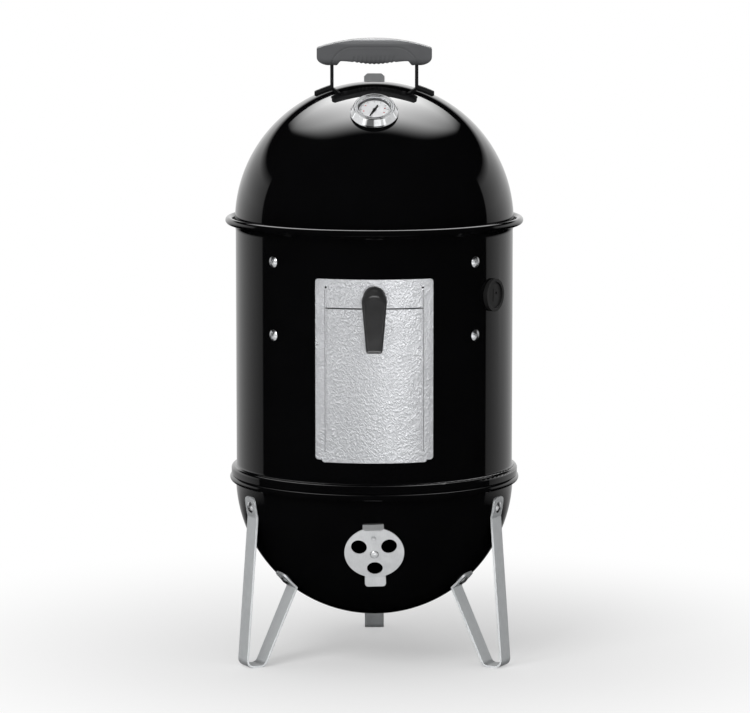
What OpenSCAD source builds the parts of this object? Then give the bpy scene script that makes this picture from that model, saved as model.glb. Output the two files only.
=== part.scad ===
// Vertical water smoker: a domed lid, a barrel with a front door and a round
// charcoal bowl on three strap legs, stacked on one upright axis.
// Millimetres. +Z is up, the front faces -Y, and the origin is on the floor, on the axis.

/* [Barrel] */
// Outer diameter of the barrel wall
barrel_d = 350; // [330:1:370]
// From the lower edge of the skirt to the middle of the top roll
barrel_h = 322.4; // [300:0.2:360]
// Thickness of the enamelled steel
sheet_t = 1.2; // [0.8:0.1:1.6]
// How far the top rim stands out from the wall
rim_reach = 13; // [11:0.5:16]
// Radius of the roll on the top rim
rim_roll_r = 4.6; // [3.8:0.1:5.4]
// How far the skirt stands outside the middle of the bowl's roll
skirt_set = 2.4; // [1:0.1:3]
// Straight height of the skirt
skirt_h = 7; // [5:0.5:12]

/* [Bowl] */
// How far the walls of the bowl and the lid stand outside the barrel's
shell_step = 1; // [0.6:0.1:2]
// Height of the bowl's bottom over the floor
bowl_lift = 54.4; // [48:0.2:70]
// Radius of the roll on the bowl's rim
bowl_roll_r = 4.3; // [3.8:0.1:5.2]

/* [Lid] */
// Straight height of the lid's wall below the dome
lid_wall_h = 3; // [2:0.5:8]
// Radius of the round bead on the lid's lower edge
lid_bead_r = 1.8; // [1.4:0.1:2.2]

/* [Lid handle] */
// Length of the grip
grip_l = 144.5; // [134:0.5:160]
// Depth of the grip from front to back
grip_depth = 30; // [24:1:38]
// Height of the grip from its feet to its crown
grip_h = 34; // [30:1:40]
// Drop of the grip's arched crown towards its ends
grip_arch = 12; // [8:1:16]
// How far the finger side of the grip is raised above its feet
grip_recess = 5.6; // [4.5:0.1:7]
// How far the underside bulges down again at the middle
grip_belly = 4.2; // [2:0.1:4.4]
// Distance between the two strap legs, middle to middle
handle_span = 106.5; // [98:0.5:114]
// Height of the grip's feet above the top of the dome
handle_lift = 20.5; // [16:0.5:30]
// Thickness of the strap legs
handle_strap_t = 4.2; // [3:0.1:5]
// Width of the strap legs
handle_strap_w = 16; // [12:1:20]
// Length of the feet that lie on the dome
handle_foot_l = 22; // [16:1:28]

/* [Dampers] */
// Diameter of each damper disc
damper_d = 74; // [66:1:82]
// Thickness of the damper sheet
damper_t = 1.2; // [1:0.1:1.6]
// Diameter of the three vent holes
vent_d = 19.5; // [14:0.5:21]
// Distance of the vent holes from the damper's middle
vent_ring_r = 21.5; // [20:0.5:23]
// Width of the finger tabs
damper_tab_w = 26; // [20:1:30]
// Length of the upright finger tab
damper_tab_l = 13; // [10:0.5:16]
// Length of the flared finger tab
damper_flare_l = 11.5; // [8:0.5:15]
// Angle of the bowl damper below the horizontal
bowl_damper_angle = 24.5; // [20:0.5:28]
// Angle of the lid damper behind the top of the dome
lid_damper_angle = 26.5; // [23:0.5:32]
// Turn of the bowl damper and its vents
bowl_damper_turn = 2; // [0:0.5:6]

/* [Thermometer] */
// Diameter of the bezel
bezel_d = 60; // [54:0.5:66]
// Diameter of the dial
dial_d = 40; // [34:0.5:42]
// Height of the bezel over the dome
bezel_h = 11; // [10:0.5:14]
// Angle of the thermometer in front of the top of the dome
thermometer_angle = 35.5; // [34:0.5:42]
// Length of the stem inside the lid
stem_l = 66; // [50:1:80]
// Length of the bimetal element in the stem
bimetal_l = 26; // [18:1:30]

/* [Door] */
// Width of the door, seen from the front
door_w = 145; // [136:1:154]
// Height of the door with its lip
door_h = 227; // [210:1:234]
// Height of the lip's lower edge above the skirt's lower edge
door_z = 38; // [34:1:42]
// Thickness of the door sheet
door_t = 1.2; // [0.8:0.1:1.6]
// How far the door overlaps the edge of its opening
door_overlap = 11; // [9:0.5:12]
// Height of the latch bolt below the door's top edge
latch_drop = 26; // [24:0.5:28]
// Length of the latch paddle below the latch bolt
paddle_l = 63; // [54:1:74]
// Width of the latch paddle at its top
paddle_w = 31; // [26:1:34]
// Width of the latch paddle at its tip
paddle_tip_w = 20.5; // [16:0.5:24]
// Thickness of the latch paddle
paddle_t = 16; // [12:0.5:17]
// How far the paddle's rounded head rises above its bolt's circle
paddle_crown = 4.4; // [2:0.2:6]
// Gap between the latch's tongue and the barrel's wall
tongue_gap = 4; // [2:0.1:5]

/* [Brackets and grates] */
// Width of the grate brackets
bracket_w = 20; // [16:1:22]
// Thickness of the grate brackets
bracket_t = 2; // [1.6:0.2:2.4]
// Angle of the front brackets from the front
bracket_az = 45.5; // [43:0.5:46]
// Depth of the brackets' upper seat below the top roll
upper_seat_drop = 23.5; // [22:0.5:27]
// Depth of the brackets' lower seat below the upper seat
lower_seat_drop = 136; // [130:1:150]
// Depth of the upper bolt below the upper seat
bolt_drop = 17.8; // [14:0.2:24]
// Distance between the two bolts of a bracket
bolt_pitch = 91; // [80:1:96]
// Gap between the top cooking grate and the barrel wall
top_grate_gap = 10; // [8:0.2:12]
// Gap between the lower cooking grate and the ends of the bracket bolts
lower_grate_gap = 4.5; // [3:0.5:8]
// How far the brackets' seats reach in past the rim of the water pan
seat_reach = 3.7; // [2.5:0.1:6]
// Number of bars in a cooking grate
grate_bars = 17; // [13:2:19]
// Radius of the bars
bar_r = 2; // [1.6:0.1:2.4]
// Radius of the ring and the cross wires
hoop_r = 3; // [2.6:0.1:3.4]
// Distance of a grate's cross wires from its middle
cross_y = 78.5; // [60:0.5:90]
// Width of the grates' lifting handles
grate_handle_w = 84; // [70:1:96]
// Height of the grates' lifting handles
grate_handle_h = 30; // [24:1:36]
// Depth of the water pan
pan_depth = 78; // [60:1:84]
// How much the water pan narrows from its rim to its floor
pan_taper = 42; // [34:1:56]

/* [Charcoal chamber] */
// Depth of the charcoal grate's ring below the bowl's rim
coal_grate_drop = 48.5; // [44:0.5:50]
// Number of bars in the charcoal grate
coal_bars = 15; // [11:2:17]
// How far the charcoal ring stands inside the charcoal grate's ring
coal_ring_inset = 19.5; // [16:0.5:30]
// Height of the charcoal ring
coal_ring_h = 82; // [74:1:86]
// Number of holes around the charcoal ring
coal_ring_holes = 20; // [12:1:24]
// Diameter of the holes in the charcoal ring
coal_hole_d = 14; // [8:1:18]
// Distance between the rows of holes in the charcoal ring
coal_row_pitch = 26; // [20:1:28]

/* [Legs] */
// Width of the leg straps
leg_w = 25; // [20:1:28]
// Thickness of the leg straps
leg_t = 2.6; // [2:0.1:3.4]
// How far the feet stand inside the bowl's outer radius
foot_inset = 2.5; // [-6:0.5:10]
// Length of the flat under each foot
foot_flat = 10; // [8:0.5:14]
// Bend radius at the feet, at the middle of the strap
foot_bend = 8.5; // [7:0.5:11]
// Angle of the front legs from the front
leg_az = 61.6; // [57:0.2:66]

/* [Probe grommet] */
// Diameter of the grommet's outer flange
grommet_d = 41; // [34:0.5:42]
// Angle of the grommet from the front
grommet_az = 57; // [56:0.5:60]
// Depth of the grommet below the top roll
grommet_drop = 85; // [70:1:100]

/* [Fits] */
// Gap between pieces that lift off or lie on a curved wall
seat_gap = 0.3; // [0.2:0.05:0.5]
// Radial clearance of turning pins and of bolts in their holes
pin_gap = 0.08; // [0.05:0.01:0.1]
// Gap between pieces that are fixed to each other
fixed_gap = 0.1; // [0.05:0.01:0.15]

/* [Hidden] */
$fn = 96;

// Depth of a cut through a shell, half inside and half outside
cut_l = 40;

// Radii of the shells
barrel_r = barrel_d / 2;
barrel_in = barrel_r - sheet_t;
dome_r = barrel_r + shell_step;
dome_in = dome_r - sheet_t;

// Heights of the shells
bowl_z = bowl_lift + dome_r;
skirt_z = bowl_z + bowl_roll_r + seat_gap;
rim_z = skirt_z + barrel_h;
flare_r = rim_reach - rim_roll_r;
flare_z = rim_z - rim_roll_r - flare_r;
flare_x = barrel_r + flare_r;
skirt_reach = dome_in + bowl_roll_r + skirt_set - barrel_r;
shoulder_r = (skirt_reach - sheet_t) / 2;
shoulder_z = skirt_z + skirt_h;
wall_z = shoulder_z + 2 * shoulder_r + sheet_t;
lid_bead_x = dome_r - sheet_t;
lid_bead_rest = flare_r + sheet_t + seat_gap + lid_bead_r;
lid_bead_z = flare_z + sqrt(pow(lid_bead_rest, 2) - pow(flare_x - lid_bead_x, 2));
lid_z = lid_bead_z + lid_wall_h;

// Handle
grip_z = lid_z + dome_r + handle_lift;
strap_x = handle_span / 2;
grip_arch_r = (pow(grip_l / 2, 2) + pow(grip_arch, 2)) / (2 * grip_arch);
strap_sink = 15;
screw_r = 2;
screw_head_r = 4;
screw_z = grip_z + strap_sink / 2 + 1;
screw_sink = 6;
screw_l = (grip_l - handle_span) / 2 - screw_sink + handle_strap_t / 2 + 3;

// Dampers
damper_seat = dome_r + seat_gap;
rivet_r = 3;
rivet_head_r = 5.5;
tab_y = damper_d / 2 + 3.6;
low_tab_y = damper_d / 2 + 1;

// Thermometer, measured from the dome's centre along its own axis
dial_seat = dome_r + 2.6;
dial_t = 1;
needle_seat = dial_seat + dial_t + 0.8;
needle_t = 0.6;
lens_t = 1.5;
lens_seat = dome_r + bezel_h - 2.6 - lens_t;
stem_r = 5;
stem_flange_r = 9.8;
probe_r = 2.6;
probe_bore_r = 1.6;
shaft_r = 0.7;
bimetal_z = dome_r - stem_l + 2.1;
shaft_z = bimetal_z + bimetal_l - 5;

// Bolts
bolt_r = 3;
bolt_head_r = 7.1;
bolt_head_h = 2.8;
nut_h = 5;
nut_r = 5.8;
nut_clear = nut_h + 0.8;

// Brackets stand off the wall, because a flat strip bridges its curve
bracket_out = sqrt(pow(barrel_in - fixed_gap, 2) - pow(bracket_w / 2, 2));
bracket_in = bracket_out - bracket_t;
bracket_bolt_l = barrel_r - bracket_in + nut_clear;
upper_seat_z = rim_z - upper_seat_drop;
lower_seat_z = upper_seat_z - lower_seat_drop;
bolt_z = [upper_seat_z - bolt_drop, upper_seat_z - bolt_drop - bolt_pitch];
bracket_az_all = [-bracket_az, bracket_az, 180 + bracket_az, 180 - bracket_az];

// Grates and pan
bar_bite = 0.8;
top_hoop_z = upper_seat_z + seat_gap + hoop_r;
pan_bead_r = 2;
pan_t = 1.2;
pan_bend_r = 14;
pan_z = lower_seat_z + seat_gap + pan_bead_r;
top_grate_r = barrel_in - top_grate_gap;
lower_grate_r = bracket_in - nut_clear - lower_grate_gap;
pan_rim_r = lower_grate_r - hoop_r;
seat_l = bracket_in - pan_rim_r + seat_reach;
lower_hoop_z = pan_z + pan_bead_r + seat_gap + hoop_r;
grate_handle_r = 2.5;
grate_handle_bend = 9;

// Charcoal chamber
coal_bar_r = 3;
coal_hoop_r = 3.5;
coal_hoop_z = bowl_z - coal_grate_drop;
coal_hoop_x = sqrt(pow(dome_in - coal_hoop_r - seat_gap, 2) - pow(coal_grate_drop, 2));
coal_bar_z = coal_hoop_z + coal_hoop_r + coal_bar_r - bar_bite;
coal_ring_z = coal_bar_z + coal_bar_r + seat_gap;
coal_ring_t = 1.5;
coal_ring_r = coal_hoop_x - coal_ring_inset;

// Door
door_lip_h = 3;
door_lip_inset = 8;
door_in = barrel_r + seat_gap;
door_out = door_in + door_t;
door_low = skirt_z + door_z;
door_top = door_low + door_h;
open_low = door_low + door_lip_h + door_overlap;
open_top = door_top - door_overlap;
open_w = door_w - 2 * door_overlap;
latch_z = door_top - latch_drop;
latch_r = 4;
rest_w = 20;
rest_az = 14;
rest_out = sqrt(pow(door_in - fixed_gap, 2) - pow(rest_w / 2, 2));
rest_t = 1.5;
rest_h = 22;
rest_l = 11;
rib_r = 1.2;
rib_inset = 13;
crease_z = latch_z - 10;
pin_z = door_top - 10.5;
pin_hole_r = 1.2;
crease_h = 1.4;
crease_d = 0.6;
tongue_w = 14;
tongue_t = 2;
tongue_hook = 9;
edge_drop = latch_drop - door_overlap;
tongue_l = edge_drop + tongue_hook;
tongue_y = sqrt(pow(barrel_in, 2) - pow(tongue_l, 2) + pow(edge_drop, 2)) - tongue_gap;
washer_r = 8;
washer_out = sqrt(pow(door_in, 2) - pow(washer_r, 2)) - 2 * fixed_gap;
latch_nut_r = 7.4;
latch_bite = 9;
paddle_y = door_out + 4;

// Legs, as angles below the horizontal at the bowl's centre
leg_mid = dome_r + seat_gap + leg_t / 2;
foot_r = dome_r - foot_inset;
leg_nut_h = 3.2;
leg_bolt_l = leg_t + seat_gap + sheet_t + 5 * fixed_gap + leg_nut_h + 0.5;
leg_top_bolt = 8.8;
leg_low_bolt = 44.2;
leg_tab = 4.3;
leg_corner_r = 7;

// Grommet
grommet_rim_h = 4.5;
grommet_neck_r = grommet_d / 2 - 5;
grommet_inner_r = grommet_neck_r + 2;
grommet_inner_t = 2;
grommet_z = rim_z - grommet_drop;

// Unit vector along v
function unit(v) = v / norm(v);

// Vector v turned a quarter to its left
function left_of(v) = [-v[1], v[0]];

// Points on an arc from angle a to angle b
function arc(c, r, a, b, n) = [
    for (i = [0:n]) c + r * [cos(a + (b - a) * i / n), sin(a + (b - a) * i / n)]
];

// A path moved sideways by d, with mitred corners
function beside(path, d) = [
    for (i = [0:len(path) - 1])
        let (
            a = unit(i > 0 ? path[i] - path[i - 1] : path[1] - path[0]),
            b = i < len(path) - 1 ? unit(path[i + 1] - path[i]) : a,
            n = unit(left_of(a) + left_of(b))
        )
        path[i] + n * d / (n * left_of(a))
];

// The outline of a strip of thickness t along a path
function strip(path, t) = concat(
    beside(path, t / 2),
    [for (i = [len(path) - 1:-1:0]) beside(path, -t / 2)[i]]
);

// The angle at which a line from point p touches a circle
function touch(p, c, r, way) = atan2(p[1] - c[1], p[0] - c[0]) + way * acos(r / norm(p - c));

// Puts a piece on a sphere, its own +Z pointing outwards and its own +Y up the slope
module on_sphere(centre_z, polar, az = 0) {
    translate([0, 0, centre_z])
        rotate([0, 0, az])
            rotate([polar, 0, 0])
                children();
}

// Puts a piece on the barrel, its own +Z pointing outwards and its own +Y up
module on_barrel(az, r, z) {
    rotate([0, 0, az])
        translate([0, -r, z])
            rotate([90, 0, 0])
                children();
}

// A flat ring
module ring(r, t) {
    difference() {
        circle(r = r);
        circle(r = r - t);
    }
}

// A rectangle with round corners, its middle at the origin
module round_rect(w, h, r) {
    square([w, h - 2 * r], center = true);
    square([w - 2 * r, h], center = true);
    for (x = [-1, 1], y = [-1, 1])
        translate([x * (w / 2 - r), y * (h / 2 - r)])
            circle(r = r);
}

// A rolled edge of steel sheet with its slot between two angles left open
module roll(r, t, from, to) {
    difference() {
        ring(r, t);
        polygon([
            [0, 0],
            2 * r * [cos(from), sin(from)],
            2 * r * [cos((from + to) / 2), sin((from + to) / 2)],
            2 * r * [cos(to), sin(to)]
        ]);
    }
}

// A round-headed slotted bolt: head above the origin, shank below
module bolt(head_r, head_h, shank_r, shank_l, slot_angle) {
    cap_r = (pow(head_r, 2) + pow(head_h, 2)) / (2 * head_h);
    difference() {
        intersection() {
            translate([0, 0, head_h - cap_r])
                sphere(r = cap_r);
            cylinder(r = head_r + 1, h = head_h + 1);
        }
        rotate([0, 0, slot_angle])
            translate([-head_r - 1, -0.7, head_h - 1.3])
                cube([2 * head_r + 2, 1.4, 2]);
    }
    translate([0, 0, -shank_l])
        cylinder(r = shank_r, h = shank_l + 0.5);
}

// A hexagon nut above the origin
module hex_nut(r, h, bore_r) {
    difference() {
        cylinder(r = r, h = h, $fn = 6);
        translate([0, 0, -1])
            cylinder(r = bore_r, h = h + 2);
    }
}

// The holes that one damper needs in the shell under it
module vent_cuts() {
    for (a = [30, 150, 270])
        translate([vent_ring_r * cos(a), vent_ring_r * sin(a), dome_r - cut_l / 2])
            cylinder(d = vent_d, h = cut_l);
    translate([0, 0, dome_r - cut_l / 2])
        cylinder(r = rivet_r + pin_gap, h = cut_l);
}

// A finger tab along +Y with its far corners rounded
module finger_tab(l, clipped = false) {
    r = 4;
    linear_extrude(height = damper_t) {
        if (clipped)
            polygon([
                [-damper_tab_w / 2, l - r - 1], [damper_tab_w / 2, l - r - 1], [damper_tab_w / 2, l - r],
                [damper_tab_w / 2 - r, l], [r - damper_tab_w / 2, l], [-damper_tab_w / 2, l - r]
            ]);
        else
            for (x = [-1, 1])
                translate([x * (damper_tab_w / 2 - r), l - r])
                    circle(r = r);
        translate([-damper_tab_w / 2, 0])
            square([damper_tab_w, l - r]);
        translate([-damper_tab_w / 2 + r, 0])
            square([damper_tab_w - 2 * r, l]);
    }
}

// A curved damper disc with its two finger tabs
module damper() {
    tab_z = sqrt(pow(damper_seat, 2) - pow(tab_y, 2));
    low_z = sqrt(pow(damper_seat, 2) - pow(low_tab_y, 2));
    difference() {
        union() {
            difference() {
                intersection() {
                    sphere(r = damper_seat + damper_t);
                    translate([0, 0, dome_r - cut_l / 2])
                        linear_extrude(height = cut_l) {
                            circle(d = damper_d);
                            translate([-damper_tab_w / 2, -low_tab_y])
                                square([damper_tab_w, low_tab_y + tab_y]);
                        }
                }
                sphere(r = damper_seat);
            }
            translate([0, tab_y, tab_z + 0.2])
                rotate([90, 0, 0])
                    finger_tab(damper_tab_l, true);
            translate([0, 1 - low_tab_y, low_z + damper_t])
                rotate([135, 0, 0])
                    finger_tab(damper_flare_l);
            translate([0, vent_ring_r + 1.5, damper_seat])
                sphere(r = 3);
        }
        sphere(r = damper_seat);
        vent_cuts();
    }
}

// The rivet that a damper turns on
module damper_rivet() {
    cap_h = 3;
    cap_r = (pow(rivet_head_r, 2) + pow(cap_h, 2)) / (2 * cap_h);
    head_z = damper_seat + damper_t + seat_gap;
    intersection() {
        translate([0, 0, head_z + cap_h - cap_r])
            sphere(r = cap_r);
        translate([0, 0, head_z])
            cylinder(r = rivet_head_r + 1, h = cap_h + 1);
    }
    translate([0, 0, dome_in - 2])
        cylinder(r = rivet_r, h = head_z - dome_in + 3);
    translate([0, 0, dome_in - 2.2])
        cylinder(r = rivet_head_r - 0.5, h = 2);
}

module lid_shell() {
    color("#141416")
        difference() {
            translate([0, 0, lid_z])
                rotate_extrude() {
                    intersection() {
                        ring(dome_r, sheet_t);
                        square(dome_r + 1);
                    }
                    translate([dome_in, -lid_wall_h])
                        square([sheet_t, lid_wall_h]);
                    translate([lid_bead_x, -lid_wall_h])
                        circle(r = lid_bead_r);
                }
            on_sphere(lid_z, -lid_damper_angle)
                rotate([0, 0, 180])
                    vent_cuts();
            on_sphere(lid_z, thermometer_angle)
                translate([0, 0, dome_r - cut_l / 2])
                    cylinder(r = stem_r + pin_gap, h = cut_l);
        }
}

// A point of a circle, by its angle
function on_circle(x, y, r, a) = [x + r * cos(a), y + r * sin(a)];

// The grip seen from the front
module grip_outline() {
    end_l = 17;
    end_h = 10.5;
    recess_w = handle_span - handle_strap_t - 17;
    difference() {
        intersection() {
            translate([0, grip_h - grip_arch_r])
                circle(r = grip_arch_r, $fn = 360);
            polygon(concat(
                [for (a = [270:10:360]) [grip_l / 2 - end_l * (1 - cos(a)), end_h * (1 + sin(a))]],
                [[grip_l / 2, grip_h], [-grip_l / 2, grip_h]],
                [for (a = [180:10:270]) [end_l * (1 + cos(a)) - grip_l / 2, end_h * (1 + sin(a))]]
            ));
        }
        polygon(concat(
            [[-recess_w / 2 - 5, -1]],
            [for (i = [-9:9]) [i * recess_w / 18, grip_recess - grip_belly * pow(cos(i * 10), 2)]],
            [[recess_w / 2 + 5, -1]]
        ));
    }
}

module lid_handle_grip() {
    color("#5d5e60")
        difference() {
            intersection() {
                translate([0, grip_depth / 2, grip_z])
                    rotate([90, 0, 0])
                        linear_extrude(height = grip_depth)
                            grip_outline();
                translate([-grip_l / 2 - 1, 0, grip_z + grip_h / 2])
                    rotate([90, 0, 90])
                        linear_extrude(height = grip_l + 2)
                            round_rect(grip_depth, grip_h, 9);
            }
            for (x = [-1, 1]) {
                translate([x * strap_x, 0, grip_z + strap_sink / 2 - 1])
                    cube([
                        handle_strap_t + 2 * fixed_gap,
                        handle_strap_w + 2 * fixed_gap,
                        strap_sink + 2 + 2 * fixed_gap
                    ], center = true);
                translate([x * (grip_l / 2 - screw_sink), 0, screw_z])
                    rotate([0, 90 * x, 0]) {
                        cylinder(r = screw_head_r + seat_gap, h = 20);
                        translate([0, 0, -screw_l - 1])
                            cylinder(r = screw_r + pin_gap, h = screw_l + 2);
                    }
            }
        }
}

// One strap leg of the handle, the one on the +X side
module handle_strap() {
    low_z = lid_z + dome_r - cut_l;
    foot_in = dome_r + fixed_gap;
    difference() {
        union() {
            difference() {
                translate([strap_x - handle_strap_t / 2, -handle_strap_w / 2, low_z])
                    cube([handle_strap_t, handle_strap_w, grip_z + strap_sink - low_z]);
                translate([0, 0, lid_z])
                    sphere(r = foot_in);
            }
            intersection() {
                translate([0, 0, lid_z])
                    difference() {
                        sphere(r = foot_in + handle_strap_t);
                        sphere(r = foot_in);
                    }
                translate([strap_x - handle_strap_t / 2, -handle_strap_w / 2, low_z])
                    cube([handle_foot_l + handle_strap_t / 2, handle_strap_w, 2 * cut_l]);
            }
        }
        translate([strap_x, 0, screw_z])
            rotate([0, 90, 0])
                cylinder(r = screw_r + pin_gap, h = 4 * handle_strap_t, center = true);
    }
}

module lid_handle_strap_left() {
    color("#3c3d40")
        mirror([1, 0, 0])
            handle_strap();
}

module lid_handle_strap_right() {
    color("#3c3d40")
        handle_strap();
}

module lid_handle_screws() {
    color("#8b8d90")
        for (x = [-1, 1])
            translate([x * (grip_l / 2 - screw_sink), 0, screw_z])
                rotate([0, 90 * x, 0])
                    bolt(screw_head_r, 2.2, screw_r, screw_l, 30 * x);
}

module lid_damper() {
    color("#b9bcbf")
        on_sphere(lid_z, -lid_damper_angle)
            rotate([0, 0, 180])
                damper();
}

module lid_damper_rivet() {
    color("#9da0a3")
        on_sphere(lid_z, -lid_damper_angle)
            damper_rivet();
}

module thermometer_bezel() {
    base_r = bezel_d / 2;
    face_r = base_r - 4.4;
    face_z = dome_r + bezel_h;
    bead_r = 1.6;
    lip_r = 1.3;
    bore_r = dial_d / 2 + fixed_gap;
    hole_r = stem_flange_r + fixed_gap;
    color("#d4d6d8")
        on_sphere(lid_z, thermometer_angle)
            difference() {
                rotate_extrude()
                    polygon(concat(
                        [
                            [hole_r, dome_r - 6], [base_r, dome_r - 6], [base_r, dome_r + 1.5],
                            [base_r - 0.8, dome_r + 2.6]
                        ],
                        [for (a = [0:30:150]) on_circle(face_r - bead_r, face_z - bead_r, bead_r, a)],
                        [for (a = [30:30:180]) on_circle(bore_r + lip_r, face_z - lip_r - 0.2, lip_r, a)],
                        [[bore_r, dial_seat - fixed_gap], [hole_r, dial_seat - fixed_gap]]
                    ));
                sphere(r = dome_r + fixed_gap);
            }
}

module thermometer_dial() {
    color("#f4f4f0")
        on_sphere(lid_z, thermometer_angle)
            translate([0, 0, dial_seat])
                difference() {
                    cylinder(d = dial_d, h = dial_t);
                    translate([0, 0, -1])
                        cylinder(r = shaft_r + pin_gap, h = dial_t + 2);
                }
}

module thermometer_lens() {
    color("#e8f0f4", 0.35)
        on_sphere(lid_z, thermometer_angle)
            translate([0, 0, lens_seat])
                cylinder(d = dial_d, h = lens_t);
}

module thermometer_needle() {
    tip_l = dial_d / 2 - 7;
    tail_l = 8.4;
    color("#101010")
        on_sphere(lid_z, thermometer_angle)
            rotate([0, 0, 154]) {
                translate([0, 0, needle_seat])
                    linear_extrude(height = needle_t) {
                        polygon([
                            [-1.2, -tail_l], [1.2, -tail_l], [0.8, -4.4], [1.9, -0.8], [1.6, 1.6], [0.35, tip_l],
                            [-0.35, tip_l], [-1.6, 1.6], [-1.9, -0.8], [-0.8, -4.4]
                        ]);
                        translate([0, -tail_l])
                            circle(r = 1.35);
                    }
                translate([0, 0, needle_seat])
                    cylinder(r = 2, h = needle_t + 0.6);
                translate([0, 0, shaft_z])
                    cylinder(r = shaft_r, h = needle_seat + 0.3 - shaft_z);
            }
}

module thermometer_stem() {
    flange_z = dome_r + 0.4;
    color("#b4b7ba")
        on_sphere(lid_z, thermometer_angle)
            difference() {
                union() {
                    translate([0, 0, flange_z])
                        cylinder(r = stem_flange_r, h = dial_seat - 2 * fixed_gap - flange_z);
                    translate([0, 0, dome_r - 12])
                        cylinder(r = stem_r, h = 13);
                    translate([0, 0, dome_r - stem_l])
                        cylinder(r = probe_r, h = stem_l);
                }
                translate([0, 0, dome_r - stem_l + 2])
                    cylinder(r = probe_bore_r, h = stem_l + 10);
            }
}

module thermometer_nut() {
    color("#a9acaf")
        on_sphere(lid_z, thermometer_angle)
            translate([0, 0, dome_in - 0.6 - nut_h])
                hex_nut(8.6, nut_h, stem_r + pin_gap);
}

module thermometer_bimetal() {
    color("#b08d57")
        on_sphere(lid_z, thermometer_angle)
            translate([0, 0, bimetal_z])
                difference() {
                    cylinder(r = probe_bore_r - fixed_gap, h = bimetal_l);
                    translate([0, 0, -1])
                        cylinder(r = shaft_r + seat_gap, h = bimetal_l + 2);
                }
}

// The barrel's wall cut through the axis
module barrel_outline() {
    translate([barrel_in, wall_z])
        square([sheet_t, flare_z - wall_z]);
    intersection() {
        translate([flare_x, flare_z])
            ring(flare_r + sheet_t, sheet_t);
        translate([flare_x - flare_r - sheet_t, flare_z])
            square(flare_r + sheet_t);
    }
    translate([flare_x, rim_z])
        roll(rim_roll_r, sheet_t, 205, 270);
    intersection() {
        translate([barrel_r + shoulder_r, wall_z])
            ring(shoulder_r + sheet_t, sheet_t);
        translate([barrel_in, wall_z - shoulder_r - sheet_t])
            square([shoulder_r + sheet_t, shoulder_r + sheet_t]);
    }
    intersection() {
        translate([barrel_r + shoulder_r, shoulder_z])
            ring(shoulder_r + sheet_t, sheet_t);
        translate([barrel_r + shoulder_r, shoulder_z])
            square(shoulder_r + sheet_t);
    }
    translate([barrel_r + 2 * shoulder_r, skirt_z])
        square([sheet_t, skirt_h]);
}

// The door or its opening, seen from the front, as a block through the barrel's front
module front_block(w, low, top, r) {
    translate([0, 1.5 * cut_l - barrel_r, (low + top) / 2])
        rotate([90, 0, 0])
            linear_extrude(height = 2 * cut_l)
                round_rect(w, top - low, r);
}

module barrel_shell() {
    color("#141416")
        difference() {
            rotate_extrude()
                barrel_outline();
            front_block(open_w, open_low, open_top, 4);
            for (az = bracket_az_all, z = bolt_z)
                on_barrel(az, barrel_r - cut_l / 2, z)
                    cylinder(r = bolt_r + pin_gap, h = cut_l);
            on_barrel(grommet_az, barrel_r - cut_l / 2, grommet_z)
                cylinder(r = grommet_neck_r + seat_gap, h = cut_l);
        }
}

// One grate bracket, at the front
module bracket() {
    difference() {
        union() {
            translate([-bracket_w / 2, -bracket_out, lower_seat_z - bracket_t])
                cube([bracket_w, bracket_t, lower_seat_drop + bracket_t]);
            for (z = [upper_seat_z, lower_seat_z])
                translate([-bracket_w / 2, -bracket_out, z - bracket_t])
                    cube([bracket_w, bracket_t + seat_l, bracket_t]);
        }
        for (z = bolt_z)
            on_barrel(0, barrel_r - cut_l / 2, z)
                cylinder(r = bolt_r + pin_gap, h = cut_l);
    }
}

module bracket_front_left() {
    color("#8f9296")
        rotate([0, 0, bracket_az_all[0]])
            bracket();
}

module bracket_front_right() {
    color("#8f9296")
        rotate([0, 0, bracket_az_all[1]])
            bracket();
}

module bracket_rear_left() {
    color("#8f9296")
        rotate([0, 0, bracket_az_all[2]])
            bracket();
}

module bracket_rear_right() {
    color("#8f9296")
        rotate([0, 0, bracket_az_all[3]])
            bracket();
}

module bracket_bolts() {
    color("#a4a7aa")
        for (i = [0:3], k = [0, 1])
            on_barrel(bracket_az_all[i], barrel_r, bolt_z[k])
                bolt(bolt_head_r, bolt_head_h, bolt_r, bracket_bolt_l, 50 + 70 * i + 35 * k);
}

module bracket_nuts() {
    color("#a4a7aa")
        for (az = bracket_az_all, z = bolt_z)
            on_barrel(az, bracket_in - nut_h, z)
                hex_nut(nut_r, nut_h, bolt_r + pin_gap);
}

module probe_grommet() {
    face_z = barrel_r + grommet_rim_h - 1.6;
    inner_z = barrel_in - fixed_gap - grommet_inner_t - 1;
    color("#1b1b1c")
        on_barrel(grommet_az, 0, grommet_z)
            difference() {
                union() {
                    // The outer flange lies on the curve of the wall
                    difference() {
                        translate([0, 0, barrel_in])
                            cylinder(d = grommet_d, h = barrel_r + grommet_rim_h - barrel_in);
                        rotate([90, 0, 0])
                            cylinder(r = barrel_r + fixed_gap, h = 3 * grommet_d, center = true);
                    }
                    translate([0, 0, inner_z])
                        cylinder(r = grommet_neck_r, h = face_z - inner_z);
                    translate([0, 0, inner_z])
                        cylinder(r = grommet_inner_r, h = grommet_inner_t);
                }
                translate([0, 0, face_z])
                    cylinder(r = grommet_d / 2 - 4, h = 5);
                translate([-4, -8, barrel_r - 0.5])
                    cube([1.2, 16, 10]);
                translate([4, 2, barrel_r - 0.5])
                    cylinder(r = 1.5, h = 10);
            }
}

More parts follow.
